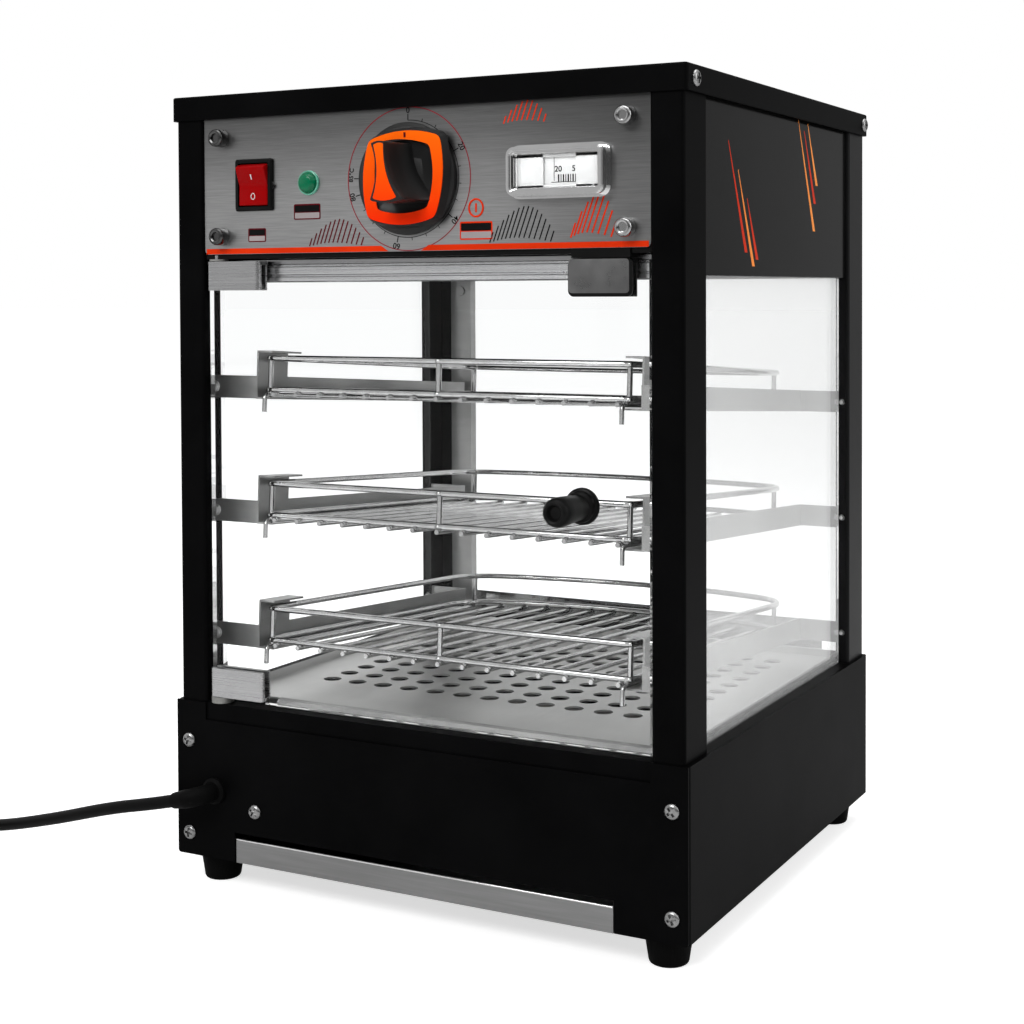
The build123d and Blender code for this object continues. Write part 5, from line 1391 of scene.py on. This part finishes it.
# %% [markdown]
# ## Feet, tray hem and side stripes
#
# The feet are rubber cones with a rounded lower edge. The tray's front strip ends in a bright folded hem.
# The glossy upper side panels carry a few slim slanted stripes in a warm colour, as a plain ornament.

# %% Feet
FOOT_H = 0.018
FOOT_X, FOOT_Y = 0.155, 0.145
bpy.ops.mesh.primitive_cone_add(
    vertices=40, radius1=0.0112, radius2=0.0140, depth=FOOT_H, location=(0, 0, FOOT_H / 2)
)
foot = bpy.context.object
ease_edges(1.8, 4)
freeze(foot)
feet = [copy_of(foot, (x, MIDDLE_Y + y, 0)) for x in (-FOOT_X, FOOT_X) for y in (-FOOT_Y, FOOT_Y)]
bpy.data.objects.remove(foot)
seat(join(feet), "rubber_feet", matt_rubber, "rubber", "feet")

# %% Tray hem
tray_low, tray_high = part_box("crumb_tray")
tray_w, _, tray_h = (tray_high - tray_low) / MM
hem = block(tray_low, (0, -0.3, tray_h - 1.1), (tray_w, 1.0, tray_h), 0.4, 3)
seat(hem, "tray_hem", bright_chrome, "stainless", body="crumb_tray")

# %% Side stripes
STRIPES = ((-80, 14, 78), (-71, 6, 62), (-63, 10, 46), (52, 30, 100), (61, 48, 94), (70, 60, 99))
STRIPE_LEAN = 0.42
LEAN_FROM = 50


def side_stripe(face_x, foot_z, start, low, high):
    """The corners of a stripe that leans forward as it rises and narrows to a tip."""
    low_y, high_y = (start - STRIPE_LEAN * (z - LEAN_FROM) for z in (low, high))
    corners = ((low_y, low), (low_y + 4.4, low), (high_y + 0.8, high), (high_y, high))
    return near((face_x, MIDDLE_Y, foot_z), [(0, y, z) for y, z in corners])


for side, word in ((-1, "left"), (1, "right")):
    panel_low, panel_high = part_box("side_panel_" + word)
    face_x = side * max(abs(panel_low.x), abs(panel_high.x))
    stripes = [slab(side_stripe(face_x, panel_low.z, *stripe), x=side * 0.06) for stripe in STRIPES]
    seat(join(stripes[::2]), "side_stripes_orange_" + word, orange_ink, "orange_plastic")
    seat(join(stripes[1::2]), "side_stripes_amber_" + word, amber_ink, "orange_plastic")

# %% [markdown]
# ## Studio
#
# The photograph is a cut-out on white. The floor and the world show as white to the camera and through
# the glass, by Light Path, with no extra light on the object. In reflections the world is bright on the
# left and above, dimmer behind, and dark in front and on the right, as in a studio with one window, so
# polished metal gets contrast and black paint stays black.

# %% World
WHITE = (1, 1, 1, 1)
world = bpy.data.worlds.new("studio")
bpy.context.scene.world = world
world.use_nodes = True
sky = world.node_tree
sky.nodes.clear()
direction = sky.nodes.new("ShaderNodeTexCoord").outputs["Generated"]
parts = add_node(sky, "ShaderNodeSeparateXYZ", Vector=direction).outputs


def brightest(tree, *shares):
    """The largest of several outputs."""
    most = shares[0]
    for share in shares[1:]:
        most = math_node(tree, "MAXIMUM", most, share)
    return most


def seen_directly(path, tree):
    """One for rays from the camera, also through glass, and nought for the rest."""
    return brightest(tree, path["Is Camera Ray"], path["Is Transmission Ray"])


from_left = fade_node(sky, parts["X"], -0.15, -0.75, 0.0, 0.85)
from_behind = fade_node(sky, parts["Y"], 0.2, 0.95, 0.0, 0.38)
from_above = fade_node(sky, parts["Z"], 0.12, 0.70, 0.0, 0.95)
room_light = math_node(sky, "ADD", brightest(sky, from_left, from_behind, from_above), 0.08)
white_sky, mirror_sky, soft_sky = [
    add_node(sky, "ShaderNodeBackground", Color=WHITE, Strength=strength) for strength in (1.0, room_light, 0.45)
]
sky_path = sky.nodes.new("ShaderNodeLightPath").outputs
mirror_mix = mix_shaders(sky, sky_path["Is Glossy Ray"], soft_sky, mirror_sky)
sky_mix = mix_shaders(sky, seen_directly(sky_path, sky), mirror_mix, white_sky)
add_node(sky, "ShaderNodeOutputWorld", Surface=sky_mix.outputs[0])
print("world has", len(sky.nodes), "nodes")

# %% Floor
bpy.ops.mesh.primitive_plane_add(size=60, location=(0, 0, 0))
floor = bpy.context.object
floor.name = "studio_floor"
floor_white, floor_tree, floor_shader = new_finish(
    "floor_white", Base_Color=(0.80, 0.80, 0.80, 1), Roughness=0.9, Specular_IOR_Level=0.0
)
floor_path = floor_tree.nodes.new("ShaderNodeLightPath").outputs
FLOOR_SEEN, FLOOR_MIRRORED = 0.66, 0.10
floor_seen = math_node(floor_tree, "MULTIPLY", seen_directly(floor_path, floor_tree), FLOOR_SEEN)
floor_mirrored = math_node(floor_tree, "MULTIPLY", floor_path["Is Glossy Ray"], FLOOR_MIRRORED)
floor_glow = brightest(floor_tree, floor_seen, floor_mirrored)
glow = add_node(floor_tree, "ShaderNodeEmission", Color=WHITE, Strength=floor_glow)
floor_add = floor_tree.nodes.new("ShaderNodeAddShader")
feed(floor_tree, floor_add.inputs[0], floor_shader.outputs[0])
feed(floor_tree, floor_add.inputs[1], glow.outputs[0])
feed(floor_tree, find_node(floor_tree, "OUTPUT_MATERIAL").inputs["Surface"], floor_add.outputs[0])
paint(floor, floor_white)

# %% Lamps
def softbox(name, place, aim, wide, high, watts):
    """A large soft lamp that looks from its place to its aim."""
    lamp_data = bpy.data.lights.new(name, "AREA")
    lamp_data.shape = "RECTANGLE"
    lamp_data.size = wide
    lamp_data.size_y = high
    lamp_data.energy = watts
    lamp = bpy.data.objects.new(name, lamp_data)
    lamp.location = place
    lamp.rotation_euler = (Vector(aim) - Vector(place)).to_track_quat("-Z", "Y").to_euler()
    bpy.context.collection.objects.link(lamp)


softbox("key_lamp", (-0.3, -1.7, 1.5), (0, 0, 0.35), 1.0, 0.8, 22)
softbox("top_lamp", (0.2, 0.1, 2.2), (0, 0, 0.3), 1.6, 1.6, 20)
softbox("right_lamp", (2.0, 0.2, 1.0), (0, 0, 0.3), 1.4, 1.4, 12)
bpy.context.scene.view_settings.view_transform = "Standard"
